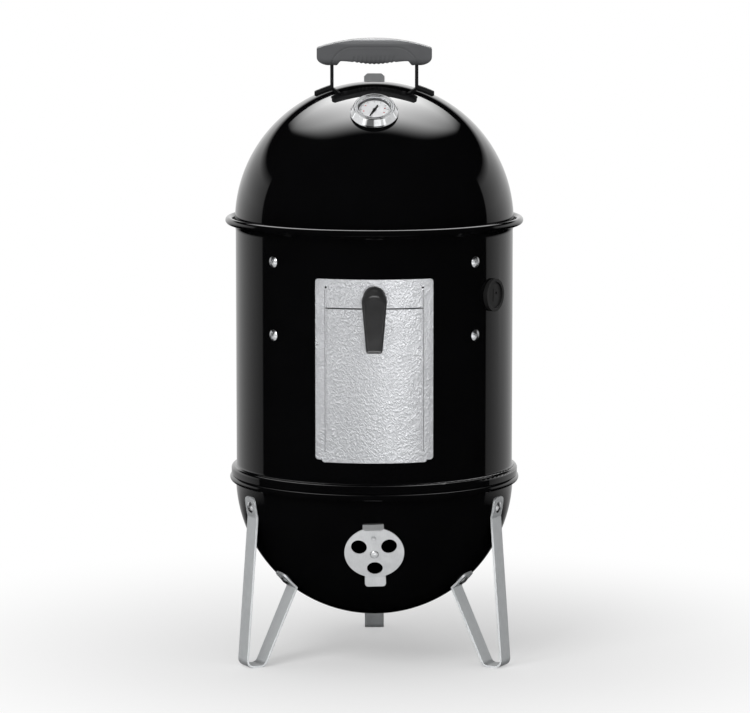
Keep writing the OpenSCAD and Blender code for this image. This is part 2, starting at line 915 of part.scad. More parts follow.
// A round grate: a hoop, parallel bars on it and two cross wires under the bars
module grate(hoop_x, n, hoop, bar) {
    bar_z = hoop + bar - bar_bite;
    step = 2 * hoop_x / (n + 1);
    cross_l = 2 * sqrt(pow(hoop_x, 2) - pow(cross_y, 2));
    rotate_extrude()
        translate([hoop_x, 0])
            circle(r = hoop);
    for (i = [1:n]) {
        x = -hoop_x + i * step;
        half = sqrt(pow(hoop_x, 2) - pow(x, 2)) + hoop * 0.3;
        translate([x, -half, bar_z])
            rotate([-90, 0, 0])
                cylinder(r = bar, h = 2 * half);
    }
    for (y = [-cross_y, cross_y])
        translate([-cross_l / 2, y, 0])
            rotate([0, 90, 0])
                cylinder(r = hoop, h = cross_l);
}

// Two wire loops that stand on a grate's outer bars
module grate_handles(hoop_x, n, hoop, bar) {
    x = hoop_x - 2 * hoop_x / (n + 1);
    foot_z = hoop + 2 * bar - bar_bite;
    corner_y = grate_handle_w / 2 - grate_handle_bend;
    corner_z = grate_handle_h - grate_handle_bend;
    for (s = [0, 180])
        rotate([0, 0, s])
            translate([x, 0, foot_z]) {
                for (y = [-1, 1]) {
                    translate([0, y * grate_handle_w / 2, 0])
                        cylinder(r = grate_handle_r, h = corner_z);
                    translate([0, y * corner_y, corner_z])
                        rotate([90, 0, 90])
                            rotate([0, 0, y > 0 ? 0 : 90])
                                rotate_extrude(angle = 90)
                                    translate([grate_handle_bend, 0])
                                        circle(r = grate_handle_r);
                }
                translate([0, -corner_y, grate_handle_h])
                    rotate([-90, 0, 0])
                        cylinder(r = grate_handle_r, h = 2 * corner_y);
            }
}

module top_grate() {
    color("#b7babd")
        translate([0, 0, top_hoop_z])
            grate(top_grate_r - hoop_r, grate_bars, hoop_r, bar_r);
}

module top_grate_handles() {
    color("#b7babd")
        translate([0, 0, top_hoop_z])
            grate_handles(top_grate_r - hoop_r, grate_bars, hoop_r, bar_r);
}

module lower_grate() {
    color("#b7babd")
        translate([0, 0, lower_hoop_z])
            grate(lower_grate_r - hoop_r, grate_bars, hoop_r, bar_r);
}

module lower_grate_handles() {
    color("#b7babd")
        translate([0, 0, lower_hoop_z])
            grate_handles(lower_grate_r - hoop_r, grate_bars, hoop_r, bar_r);
}

module water_pan() {
    floor_z = pan_z - pan_depth;
    path = concat(
        [[0, floor_z]],
        arc([pan_rim_r - pan_taper, floor_z + pan_bend_r], pan_bend_r, -90, -8, 6),
        [[pan_rim_r - 5, pan_z], [pan_rim_r, pan_z]]
    );
    color("#1a1a1c") {
        rotate_extrude()
            polygon(strip(path, pan_t));
        rotate_extrude()
            translate([pan_rim_r, pan_z])
                circle(r = pan_bead_r);
    }
}

module door_panel() {
    rib_x = door_w / 2 - rib_inset;
    color("#c3c6c9")
        difference() {
            union() {
                difference() {
                    cylinder(r = door_out, h = door_top + 10);
                    translate([0, 0, -1])
                        cylinder(r = door_in, h = door_top + 20);
                }
                for (x = [-1, 1])
                    translate([x * rib_x, -sqrt(pow(door_out - 0.2, 2) - pow(rib_x, 2)), open_low])
                        cylinder(r = rib_r, h = pin_z - open_low - 3.5);
            }
            cylinder(r = door_in, h = door_top + 20);
            difference() {
                translate([0, 0, (door_low + door_top) / 2])
                    cube([3 * barrel_r, 3 * barrel_r, 3 * door_top], center = true);
                front_block(door_w, door_low + door_lip_h, door_top, 4);
                front_block(door_w - 2 * door_lip_inset, door_low, door_top - 20, 3);
            }
            intersection() {
                difference() {
                    cylinder(r = door_out + 1, h = door_top);
                    translate([0, 0, -1])
                        cylinder(r = door_out - crease_d, h = door_top + 2);
                }
                front_block(2 * rib_x - 6, crease_z - crease_h / 2, crease_z + crease_h / 2, 0.2);
            }
            on_barrel(0, barrel_r - cut_l / 2, latch_z)
                cylinder(r = latch_r + pin_gap, h = cut_l);
            for (x = [-1, 1])
                translate([x * rib_x, -barrel_r, pin_z])
                    rotate([90, 0, 0])
                        cylinder(r = pin_hole_r, h = cut_l, center = true);
        }
}

module door_rest_tabs() {
    color("#a9acb0")
        for (az = [-rest_az, rest_az])
            rotate([0, 0, az]) {
                translate([-rest_w / 2, -rest_out, open_low + 2 * fixed_gap])
                    cube([rest_w, rest_t, rest_h]);
                translate([-rest_w / 2, -rest_out, open_low + 2 * fixed_gap])
                    cube([rest_w, rest_l, rest_t]);
            }
}

module latch_paddle() {
    tip_r = 4;
    tip_x = paddle_tip_w / 2 - tip_r;
    head_r = paddle_w / 2 - 1.5;
    lean = 1.5 / paddle_crown;
    slant = sqrt(1 - lean * lean);
    color("#161617")
        translate([0, 0, latch_z])
            rotate([90, 0, 0])
                difference() {
                    union() {
                        translate([0, 0, paddle_y])
                            linear_extrude(height = paddle_t) {
                                circle(d = paddle_w);
                                translate([0, paddle_crown])
                                    circle(r = head_r);
                                polygon([
                                    [-slant * paddle_w / 2, lean * paddle_w / 2],
                                    [slant * paddle_w / 2, lean * paddle_w / 2],
                                    [slant * head_r, lean * head_r + paddle_crown],
                                    [-slant * head_r, lean * head_r + paddle_crown]
                                ]);
                                polygon([
                                    [-paddle_w / 2, 0], [-paddle_tip_w / 2, -paddle_l + tip_r],
                                    [paddle_tip_w / 2, -paddle_l + tip_r], [paddle_w / 2, 0]
                                ]);
                                translate([-tip_x, -paddle_l])
                                    square([2 * tip_x, tip_r * 2]);
                                for (x = [-1, 1])
                                    translate([x * tip_x, -paddle_l + tip_r])
                                        circle(r = tip_r);
                            }
                        translate([0, 0, door_out + 0.2])
                            cylinder(r = paddle_w / 2 - 4, h = paddle_y - door_out);
                    }
                    cylinder(r = latch_r + 0.02, h = paddle_y + latch_bite + 1);
                }
}

module latch_bolt() {
    color("#9da0a3")
        translate([0, 0, latch_z])
            rotate([90, 0, 0])
                translate([0, 0, tongue_y - tongue_t - nut_clear])
                    cylinder(r = latch_r, h = paddle_y + latch_bite - tongue_y + tongue_t + nut_clear);
}

module latch_washer() {
    color("#b4b7ba")
        translate([0, 0, latch_z])
            rotate([90, 0, 0])
                translate([0, 0, tongue_y + 2 * fixed_gap])
                    difference() {
                        cylinder(r = washer_r, h = washer_out - tongue_y - 2 * fixed_gap);
                        translate([0, 0, -1])
                            cylinder(r = latch_r + pin_gap, h = 10);
                    }
}

module latch_tongue() {
    color("#8f9296")
        translate([0, 0, latch_z])
            rotate([90, 0, 0])
                translate([0, 0, tongue_y - tongue_t])
                    linear_extrude(height = tongue_t)
                        difference() {
                            union() {
                                circle(d = tongue_w);
                                intersection() {
                                    circle(r = tongue_l);
                                    translate([0, -tongue_w / 2])
                                        square([tongue_l, tongue_w]);
                                }
                            }
                            circle(r = latch_r + 0.02);
                        }
}

module latch_nut() {
    color("#a4a7aa")
        translate([0, 0, latch_z])
            rotate([90, 0, 0])
                translate([0, 0, tongue_y - tongue_t - nut_h])
                    hex_nut(latch_nut_r, nut_h, latch_r + 0.02);
}

module charcoal_bowl() {
    color("#141416")
        difference() {
            translate([0, 0, bowl_z])
                rotate_extrude() {
                    intersection() {
                        ring(dome_r, sheet_t);
                        translate([0, -dome_r - 1])
                            square(dome_r + 1);
                    }
                    translate([dome_in + bowl_roll_r, 0])
                        roll(bowl_roll_r, sheet_t, 180, 245);
                }
            on_sphere(bowl_z, 90 + bowl_damper_angle)
                rotate([0, 0, bowl_damper_turn])
                    vent_cuts();
            for (az = [-leg_az, leg_az, 180], a = [leg_top_bolt, leg_low_bolt])
                on_sphere(bowl_z, 90 + a, az)
                    translate([0, 0, dome_r - cut_l / 2])
                        cylinder(r = bolt_r + pin_gap, h = cut_l);
        }
}

module bowl_damper() {
    color("#b9bcbf")
        on_sphere(bowl_z, 90 + bowl_damper_angle)
            rotate([0, 0, bowl_damper_turn])
                damper();
}

module bowl_damper_rivet() {
    color("#9da0a3")
        on_sphere(bowl_z, 90 + bowl_damper_angle)
            damper_rivet();
}

// A leg's path: down its outer run, round the foot, and up its inner run
function leg_path() =
    let (
        middle = [0, bowl_z],
        foot_z = leg_t / 2 + foot_bend,
        outer = [foot_r + foot_flat / 2, foot_z],
        inner = [foot_r - foot_flat / 2, foot_z],
        top_tab = arc(middle, leg_mid, leg_tab - leg_top_bolt, -leg_tab - leg_top_bolt, 4),
        low_tab = arc(middle, leg_mid, -leg_tab - leg_low_bolt, leg_tab - leg_low_bolt, 4)
    )
    concat(
        top_tab,
        arc(outer, foot_bend, touch(top_tab[4], outer, foot_bend, -1), -90, 6),
        arc(inner, foot_bend, -90, touch(low_tab[0], inner, foot_bend, 1) - 360, 6),
        low_tab
    );

// What rounds the two corners at the upper end of a leg's tab
module tab_corners() {
    tab_l = leg_tab * PI / 180 * leg_mid;
    corner_x = leg_w / 2 - leg_corner_r;
    corner_y = tab_l - leg_corner_r;
    for (x = [0, 1])
        mirror([x, 0, 0])
            translate([corner_x, corner_y, dome_r - cut_l / 2])
                difference() {
                    cube([2 * leg_corner_r, 2 * leg_corner_r, cut_l]);
                    translate([0, 0, -1])
                        cylinder(r = leg_corner_r, h = cut_l + 2);
                }
}

// One leg, at the front
module leg() {
    difference() {
        rotate([0, 0, -90])
            rotate([90, 0, 0])
                linear_extrude(height = leg_w, center = true)
                    polygon(strip(leg_path(), leg_t));
        for (a = [leg_top_bolt, leg_low_bolt])
            on_sphere(bowl_z, 90 + a) {
                translate([0, 0, dome_r - cut_l / 2])
                    cylinder(r = bolt_r + pin_gap, h = cut_l);
                tab_corners();
            }
    }
}

module leg_front_left() {
    color("#aab0b3")
        rotate([0, 0, -leg_az])
            leg();
}

module leg_front_right() {
    color("#aab0b3")
        rotate([0, 0, leg_az])
            leg();
}

module leg_rear() {
    color("#aab0b3")
        rotate([0, 0, 180])
            leg();
}

module leg_bolts() {
    color("#a4a7aa")
        for (az = [-leg_az, leg_az, 180], a = [leg_top_bolt, leg_low_bolt])
            on_sphere(bowl_z, 90 + a, az)
                translate([0, 0, leg_mid + leg_t / 2 + fixed_gap])
                    bolt(bolt_head_r, bolt_head_h, bolt_r, leg_bolt_l, az + 3 * a);
}

module leg_nuts() {
    color("#a4a7aa")
        for (az = [-leg_az, leg_az, 180], a = [leg_top_bolt, leg_low_bolt])
            on_sphere(bowl_z, 90 + a, az)
                translate([0, 0, dome_in - 2 * fixed_gap - leg_nut_h])
                    hex_nut(nut_r, leg_nut_h, bolt_r + pin_gap);
}

module charcoal_grate() {
    color("#8f9296")
        translate([0, 0, coal_hoop_z])
            grate(coal_hoop_x, coal_bars, coal_hoop_r, coal_bar_r);
}

module charcoal_ring() {
    pitch = 360 / coal_ring_holes;
    middle_z = coal_ring_z + coal_ring_h / 2;
    color("#77797c")
        difference() {
            translate([0, 0, coal_ring_z])
                linear_extrude(height = coal_ring_h)
                    ring(coal_ring_r, coal_ring_t);
            for (i = [1:coal_ring_holes], k = [-1:1])
                on_barrel((i + abs(k) / 2) * pitch, coal_ring_r - 10, middle_z + k * coal_row_pitch)
                    cylinder(d = coal_hole_d, h = 20);
        }
}

lid_shell();
lid_handle_grip();
lid_handle_strap_left();
lid_handle_strap_right();
lid_handle_screws();
lid_damper();
lid_damper_rivet();
thermometer_bezel();
thermometer_dial();
thermometer_lens();
thermometer_needle();
thermometer_stem();
thermometer_nut();
thermometer_bimetal();
barrel_shell();
bracket_front_left();
bracket_front_right();
bracket_rear_left();
bracket_rear_right();
bracket_bolts();
bracket_nuts();
probe_grommet();
top_grate();
top_grate_handles();
lower_grate();
lower_grate_handles();
water_pan();
door_panel();
door_rest_tabs();
latch_paddle();
latch_bolt();
latch_washer();
latch_tongue();
latch_nut();
charcoal_bowl();
bowl_damper();
bowl_damper_rivet();
leg_front_left();
leg_front_right();
leg_rear();
leg_bolts();
leg_nuts();
charcoal_grate();
charcoal_ring();
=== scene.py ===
"""Looks of a vertical water smoker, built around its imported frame."""

import logging
import math
from dataclasses import dataclass
from enum import Enum
from typing import Callable, Iterable, Sequence

import bmesh
import bpy
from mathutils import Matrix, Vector


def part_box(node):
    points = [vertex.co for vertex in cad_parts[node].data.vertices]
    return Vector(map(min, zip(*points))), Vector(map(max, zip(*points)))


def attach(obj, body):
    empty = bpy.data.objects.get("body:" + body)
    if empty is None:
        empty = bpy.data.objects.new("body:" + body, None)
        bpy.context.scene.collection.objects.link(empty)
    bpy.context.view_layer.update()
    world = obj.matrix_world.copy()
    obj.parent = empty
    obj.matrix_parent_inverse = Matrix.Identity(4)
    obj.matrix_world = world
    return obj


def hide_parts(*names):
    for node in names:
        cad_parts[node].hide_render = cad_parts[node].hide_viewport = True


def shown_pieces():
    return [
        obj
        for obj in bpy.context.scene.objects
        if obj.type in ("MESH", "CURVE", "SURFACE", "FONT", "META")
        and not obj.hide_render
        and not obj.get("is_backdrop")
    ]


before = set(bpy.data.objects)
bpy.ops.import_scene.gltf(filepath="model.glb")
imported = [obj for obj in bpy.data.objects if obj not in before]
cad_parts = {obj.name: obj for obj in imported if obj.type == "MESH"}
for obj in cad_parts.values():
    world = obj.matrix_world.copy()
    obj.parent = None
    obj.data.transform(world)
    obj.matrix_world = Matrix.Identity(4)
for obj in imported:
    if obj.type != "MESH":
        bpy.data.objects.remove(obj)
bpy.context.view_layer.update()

log = logging.getLogger("smoker")

MM = 0.001
TINY = 0.001
NOISE_SPAN = (0.3, 0.7)
RISE = (0.0, 1.0)
FALL = (1.0, 0.0)
UP = (0.0, 0.0, 1.0)
DOWN = (0.0, 0.0, -1.0)
BACKWARD = (0.0, 1.0, 0.0)
RIGHT = (1.0, 0.0, 0.0)
LEFT = (-1.0, 0.0, 0.0)
Pair = tuple[float, float]
Point = tuple[float, float, float]
Colour = tuple[float, float, float]
Ramp = tuple[Pair, Pair]
Stops = tuple[Pair, ...]
Socket = bpy.types.NodeSocket
Object = bpy.types.Object
Mesh = bpy.types.Mesh


class Body(Enum):
    """The bodies that new pieces ride on."""

    LID = "lid"
    LATCH = "latch"


class Slot(Enum):
    """The record's material slots, one for each finish."""

    ENAMEL = "enamel"
    GREY_NYLON = "grey_nylon"
    BLACK_NYLON = "black_nylon"
    DARK_STEEL = "dark_steel"
    ZINC_STEEL = "zinc_steel"
    SHEET_ALUMINIUM = "sheet_aluminium"
    STUCCO_ALUMINIUM = "stucco_aluminium"
    LEG_STRAP = "leg_strap"
    CHROME = "chrome"
    DIAL_WHITE = "dial_white"
    NEEDLE_BLACK = "needle_black"
    GLASS = "glass"
    BIMETAL = "bimetal"
    RUBBER = "rubber"
    PLATED_WIRE = "plated_wire"
    PLAIN_STEEL = "plain_steel"


def ease(value: float, low: float, high: float) -> float:
    """Rises smoothly from 0 at the low value to 1 at the high one."""
    part = min(max((value - low) / (high - low), 0.0), 1.0)
    return part * part * (3.0 - 2.0 * part)


def drawn_mesh(name: str, shape: bmesh.types.BMesh) -> Mesh:
    """Turns a drawn shape into a mesh whose faces look outwards.

    Args:
        name: the mesh's name.
        shape: the drawn shape, which is freed.

    Returns:
        The mesh.
    """
    bmesh.ops.recalc_face_normals(shape, faces=shape.faces)
    mesh = bpy.data.meshes.new(name)
    shape.to_mesh(mesh)
    shape.free()
    return mesh


class Nodes:
    """A node tree, with short calls that add and join its nodes."""

    def __init__(self, tree: bpy.types.NodeTree) -> None:
        """Takes over a tree and empties it.

        Args:
            tree: the tree of a material, a lamp or the world.
        """
        self.tree = tree
        tree.nodes.clear()

    def add(self, kind: str) -> bpy.types.Node:
        """Adds one node of a kind."""
        return self.tree.nodes.new(kind)

    def link(self, start: Socket, end: Socket) -> None:
        """Joins one socket to another."""
        self.tree.links.new(start, end)

    def parts(self, vector: Socket) -> tuple[Socket, Socket, Socket]:
        """Splits a vector.

        Args:
            vector: the vector.

        Returns:
            Its X, Y and Z.
        """
        node = self.add("ShaderNodeSeparateXYZ")
        self.link(vector, node.inputs[0])
        return node.outputs[0], node.outputs[1], node.outputs[2]

    def maths(self, kind: str, *values: Socket | float) -> Socket:
        """Joins values by an operation.

        Args:
            kind: the name of the operation.
            values: its values, each a socket or a number.

        Returns:
            The result.
        """
        node = self.add("ShaderNodeMath")
        node.operation = kind
        for end, value in zip(node.inputs, values):
            if isinstance(value, bpy.types.NodeSocket):
                self.link(value, end)
            else:
                end.default_value = value
        return node.outputs[0]

    def times(self, *values: Socket | float) -> Socket:
        """Multiplies values with each other.

        Args:
            values: the values, each a socket or a number.

        Returns:
            The product.
        """
        product = values[0]
        for value in values[1:]:
            product = self.maths("MULTIPLY", product, value)
        return product

    def length(self, x: Socket, y: Socket) -> Socket:
        """Measures the length of a flat vector."""
        return self.maths("SQRT", self.maths("ADD", self.times(x, x), self.times(y, y)))

    def remap(
        self, value: Socket, source: Sequence[float], target: Sequence[float], soft: bool = False
    ) -> Socket:
        """Maps one range of a value to another.

        Args:
            value: the value that is mapped.
            source: its low and high end.
            target: what these become.
            soft: whether both ends are eased.

        Returns:
            The mapped value.
        """
        node = self.add("ShaderNodeMapRange")
        node.interpolation_type = "SMOOTHSTEP" if soft else "LINEAR"
        for name, number in zip(("From Min", "From Max", "To Min", "To Max"), (*source, *target)):
            node.inputs[name].default_value = number
        self.link(value, node.inputs["Value"])
        return node.outputs["Result"]

    def tones(self, place: Socket, stops: Stops) -> Socket:
        """Gives a tone by the azimuth of a place, seen from the object's axis.

        Args:
            place: the place.
            stops: each azimuth in degrees, from the front towards +X, with its tone.

        Returns:
            The tone, as a grey.
        """
        x, y, _ = self.parts(place)
        turn = self.maths("ARCTAN2", x, self.times(y, -1.0))
        node = self.add("ShaderNodeValToRGB")
        marks = node.color_ramp.elements
        while len(marks) < len(stops):
            marks.new(0.5)
        for mark, (degrees, tone) in zip(marks, stops):
            mark.position, mark.color = degrees / 360.0 + 0.5, (tone, tone, tone, 1.0)
        self.link(self.remap(turn, (-math.pi, math.pi), RISE), node.inputs[0])
        return node.outputs["Color"]


class Graph(Nodes):
    """A material's nodes around one shader."""

    bevel_samples: int = 6

    def __init__(self, name: str) -> None:
        """Starts a material with one shader.

        Args:
            name: the material's name.
        """
        self.material = bpy.data.materials.new(name)
        self.material.use_nodes = True
        super().__init__(self.material.node_tree)
        self.shader = self.add("ShaderNodeBsdfPrincipled")
        self.output = self.add("ShaderNodeOutputMaterial")
        self.link(self.shader.outputs["BSDF"], self.output.inputs["Surface"])
        self.place = self.add("ShaderNodeTexCoord").outputs["Object"]

    def stretched(self, scale: Sequence[float]) -> Socket:
        """Stretches the surface's own coordinates.

        Args:
            scale: the factor along each axis.

        Returns:
            The stretched coordinates.
        """
        mapping = self.add("ShaderNodeMapping")
        mapping.inputs["Scale"].default_value = scale
        self.link(self.place, mapping.inputs["Vector"])
        return mapping.outputs["Vector"]

    def slanted(self, grain: Sequence[float], turn: float) -> Socket:
        """Lays the surface's own coordinates along a slanting grain.

        Args:
            grain: the length of one feature along each turned axis, in metres.
            turn: how far the grain is turned about Y, in degrees.

        Returns:
            The coordinates, counted in features.
        """
        mapping = self.add("ShaderNodeMapping")
        mapping.vector_type = "TEXTURE"
        mapping.inputs["Rotation"].default_value = (0.0, math.radians(turn), 0.0)
        mapping.inputs["Scale"].default_value = grain
        self.link(self.place, mapping.inputs["Vector"])
        return mapping.outputs["Vector"]

    def noise(self, scale: float, detail: float, place: Socket | None = None) -> Socket:
        """Adds a noise pattern.

        Args:
            scale: how many features stand in a metre.
            detail: how many finer layers it has.
            place: the coordinates, or the surface's own.

        Returns:
            The pattern, about 0.5.
        """
        node = self.add("ShaderNodeTexNoise")
        node.inputs["Scale"].default_value = scale
        node.inputs["Detail"].default_value = detail
        self.link(place or self.place, node.inputs["Vector"])
        return node.outputs["Fac"]

    def tint(self, factor: Socket, low: Socket | Colour, high: Colour) -> Socket:
        """Mixes two colours.

        Args:
            factor: 0 for the first colour, 1 for the second.
            low: the first colour, a socket or a plain colour.
            high: the second colour.

        Returns:
            The mixed colour.
        """
        node = self.add("ShaderNodeMix")
        node.data_type = "RGBA"
        self.link(factor, node.inputs["Factor"])
        first, second = [s for s in node.inputs if s.type == "RGBA"]
        second.default_value = (*high, 1.0)
        if isinstance(low, bpy.types.NodeSocket):
            self.link(low, first)
        else:
            first.default_value = (*low, 1.0)
        return next(s for s in node.outputs if s.type == "RGBA")

    def rounded(self, radius: float) -> Socket:
        """Softens sharp edges in the shading.

        Args:
            radius: the radius of the softened edge, in metres.

        Returns:
            The softened normal.
        """
        node = self.add("ShaderNodeBevel")
        node.samples = self.bevel_samples
        node.inputs["Radius"].default_value = radius
        return node.outputs["Normal"]

    def bump(self, height: Socket, depth: float, strength: float, normal: Socket | None = None) -> Socket:
        """Turns a pattern into relief.

        Args:
            height: the pattern.
            depth: how deep it is from 0 to 1, in metres.
            strength: how much of it shows.
            normal: the relief that it lies on.

        Returns:
            The changed normal.
        """
        node = self.add("ShaderNodeBump")
        node.inputs["Strength"].default_value = strength
        node.inputs["Distance"].default_value = depth
        self.link(height, node.inputs["Height"])
        if normal is not None:
            self.link(normal, node.inputs["Normal"])
        return node.outputs["Normal"]

    def drive(self, name: str, value: Socket) -> None:
        """Joins a value to one of the shader's sockets."""
        self.link(value, self.shader.inputs[name])

    def put(self, name: str, value: float | Sequence[float]) -> None:
        """Sets one of the shader's sockets."""
        self.shader.inputs[name].default_value = value


# In the finishes, lengths are in metres, and a pattern is a pair: its scale and its detail.
@dataclass(frozen=True)
class Relief:
    """A noise that stands out of a surface."""

    scale: float
    detail: float
    depth: float
    strength: float

    def put_on(self, graph: Graph, normal: Socket | None = None) -> Socket:
        """Lays the relief on a material's normal."""
        return graph.bump(graph.noise(self.scale, self.detail), self.depth, self.strength, normal)


@dataclass(frozen=True)
class Enamel:
    """Gloss black porcelain enamel with a faint flow of its glaze."""

    dark: Colour = (0.0016, 0.0016, 0.0018)
    light: Colour = (0.0030, 0.0030, 0.0033)
    gloss: Pair = (0.030, 0.055)
    ior: float = 1.5
    flow: Pair = (24.0, 4.0)
    sheen: Pair = (75.0, 5.0)
    peel: Relief = Relief(330.0, 2.0, 0.00002, 0.10)
    wave: Relief = Relief(28.0, 1.0, 0.0001, 0.05)
    edge: float = 0.0003

    def build(self, name: str) -> bpy.types.Material:
        """Makes the material.

        Args:
            name: the material's name.

        Returns:
            The material.
        """
        graph = Graph(name)
        graph.drive("Base Color", graph.tint(graph.noise(*self.flow), self.dark, self.light))
        graph.drive("Roughness", graph.remap(graph.noise(*self.sheen), NOISE_SPAN, self.gloss))
        graph.put("IOR", self.ior)
        peel = self.peel.put_on(graph, graph.rounded(self.edge))
        graph.drive("Normal", self.wave.put_on(graph, peel))
        return graph.material


@dataclass(frozen=True)
class Moulding:
    """Moulded nylon or rubber with a fine eroded grain."""

    dark: Colour
    light: Colour
    rough: Pair
    grain: float = 2100.0
    depth: float = 0.00006
    detail: float = 3.0
    strength: float = 0.35
    edge: float = 0.0006
    ior: float = 1.47
    cloud: Pair = (60.0, 5.0)

    def build(self, name: str) -> bpy.types.Material:
        """Makes the material.

        Args:
            name: the material's name.

        Returns:
            The material.
        """
        graph = Graph(name)
        cloud = graph.noise(*self.cloud)
        graph.drive("Base Color", graph.tint(cloud, self.dark, self.light))
        graph.drive("Roughness", graph.remap(cloud, NOISE_SPAN, self.rough))
        graph.put("IOR", self.ior)
        grain = Relief(self.grain, self.detail, self.depth, self.strength)
        graph.drive("Normal", grain.put_on(graph, graph.rounded(self.edge)))
        return graph.material


@dataclass(frozen=True)
class Metal:
    """Bare, plated or coated metal with rolling lines and a mottled sheen."""

    dark: Colour
    light: Colour
    rough: Pair
    lines: Point = (1.0, 1.0, 14.0)
    metallic: float = 1.0
    line_depth: float = 0.00001
    line_strength: float = 0.3
    mottle: Pair = (90.0, 5.0)
    streak: Pair = (160.0, 4.0)
    span: Pair = (0.35, 0.65)
    edge: float = 0.0004

    def build(self, name: str) -> bpy.types.Material:
        """Makes the material.

        Args:
            name: the material's name.

        Returns:
            The material.
        """
        graph = Graph(name)
        streak = graph.noise(*self.streak, graph.stretched(self.lines))
        both = graph.times(graph.maths("ADD", graph.noise(*self.mottle), streak), 0.5)
        graph.drive("Base Color", graph.tint(graph.remap(both, self.span, RISE), self.dark, self.light))
        graph.drive("Roughness", graph.remap(both, self.span, self.rough))
        graph.put("Metallic", self.metallic)
        edge = graph.rounded(self.edge)
        graph.drive("Normal", graph.bump(streak, self.line_depth, self.line_strength, edge))
        return graph.material


@dataclass(frozen=True)
class StuccoSheet:
    """Bright aluminium sheet embossed with short slanting dashes, flatter along its sides, with a line of
    painted shade along its crease.
    """

    dark: Colour = (0.60, 0.61, 0.63)
    light: Colour = (0.72, 0.73, 0.75)
    # near black of the painted shade along the crease
    crease_shade: Colour = (0.03, 0.03, 0.03)
    rough: Pair = (0.27, 0.35)
    sheen: Pair = (40.0, 4.0)
    metallic: float = 0.85
    dash: Point = (0.0042, 0.03, 0.0017)
    dash_noise: Pair = (1.0, 1.0)
    dash_span: Pair = (0.46, 0.74)
    slants: Pair = (-52.0, 47.0)
    depth: float = 0.00048
    strength: float = 0.5
    field: Pair = (0.0585, 0.0615)
    margin: float = 0.75
    crease: Point = (0.4640, 0.0004, 0.0010)
    edge: float = 0.0006

    def build(self, name: str) -> bpy.types.Material:
        """Makes the material.

        Args:
            name: the material's name.

        Returns:
            The material.
        """
        graph = Graph(name)
        x, _, z = graph.parts(graph.place)
        across = graph.maths("ABSOLUTE", x)
        dashes = [graph.noise(*self.dash_noise, graph.slanted(self.dash, turn)) for turn in self.slants]
        relief = graph.remap(graph.maths("MAXIMUM", *dashes), self.dash_span, RISE)
        relief = graph.times(relief, graph.remap(across, self.field, (1.0, self.margin)))
        height, *blur = self.crease
        # painted shade: a near-black line along the crease, where shade falls in its groove
        line = graph.remap(graph.maths("ABSOLUTE", graph.maths("SUBTRACT", z, height)), blur, FALL)
        line = graph.times(line, graph.remap(across, self.field, FALL))
        sheet = graph.tint(relief, self.dark, self.light)
        graph.drive("Base Color", graph.tint(line, sheet, self.crease_shade))
        graph.drive("Roughness", graph.remap(graph.noise(*self.sheen), NOISE_SPAN, self.rough))
        graph.put("Metallic", self.metallic)
        graph.drive("Normal", graph.bump(relief, self.depth, self.strength, graph.rounded(self.edge)))
        return graph.material


@dataclass(frozen=True)
class Lens:
    """Clear flat glass over the dial."""

    ior: float = 1.2
    haze: Pair = (0.0, 0.03)
    cloud: Pair = (90.0, 4.0)

    def build(self, name: str) -> bpy.types.Material:
        """Makes the material.

        Args:
            name: the material's name.

        Returns:
            The material.
        """
        graph = Graph(name)
        graph.put("Base Color", (1.0, 1.0, 1.0, 1.0))
        graph.put("Transmission Weight", 1.0)
        graph.put("IOR", self.ior)
        graph.drive("Roughness", graph.remap(graph.noise(*self.cloud), NOISE_SPAN, self.haze))
        return graph.material


@dataclass(frozen=True)
class Paint:
    """Flat printing ink or stoved paint with a faint fibre in it."""

    dark: Colour
    light: Colour
    rough: Pair = (0.45, 0.6)
    cloud: Pair = (420.0, 4.0)
    fibre: Relief = Relief(3000.0, 2.0, 0.00002, 0.2)

    def build(self, name: str) -> bpy.types.Material:
        """Makes the material.

        Args:
            name: the material's name.

        Returns:
            The material.
        """
        graph = Graph(name)
        cloud = graph.noise(*self.cloud)
        graph.drive("Base Color", graph.tint(cloud, self.dark, self.light))
        graph.drive("Roughness", graph.remap(cloud, NOISE_SPAN, self.rough))
        graph.drive("Normal", self.fibre.put_on(graph))
        return graph.material


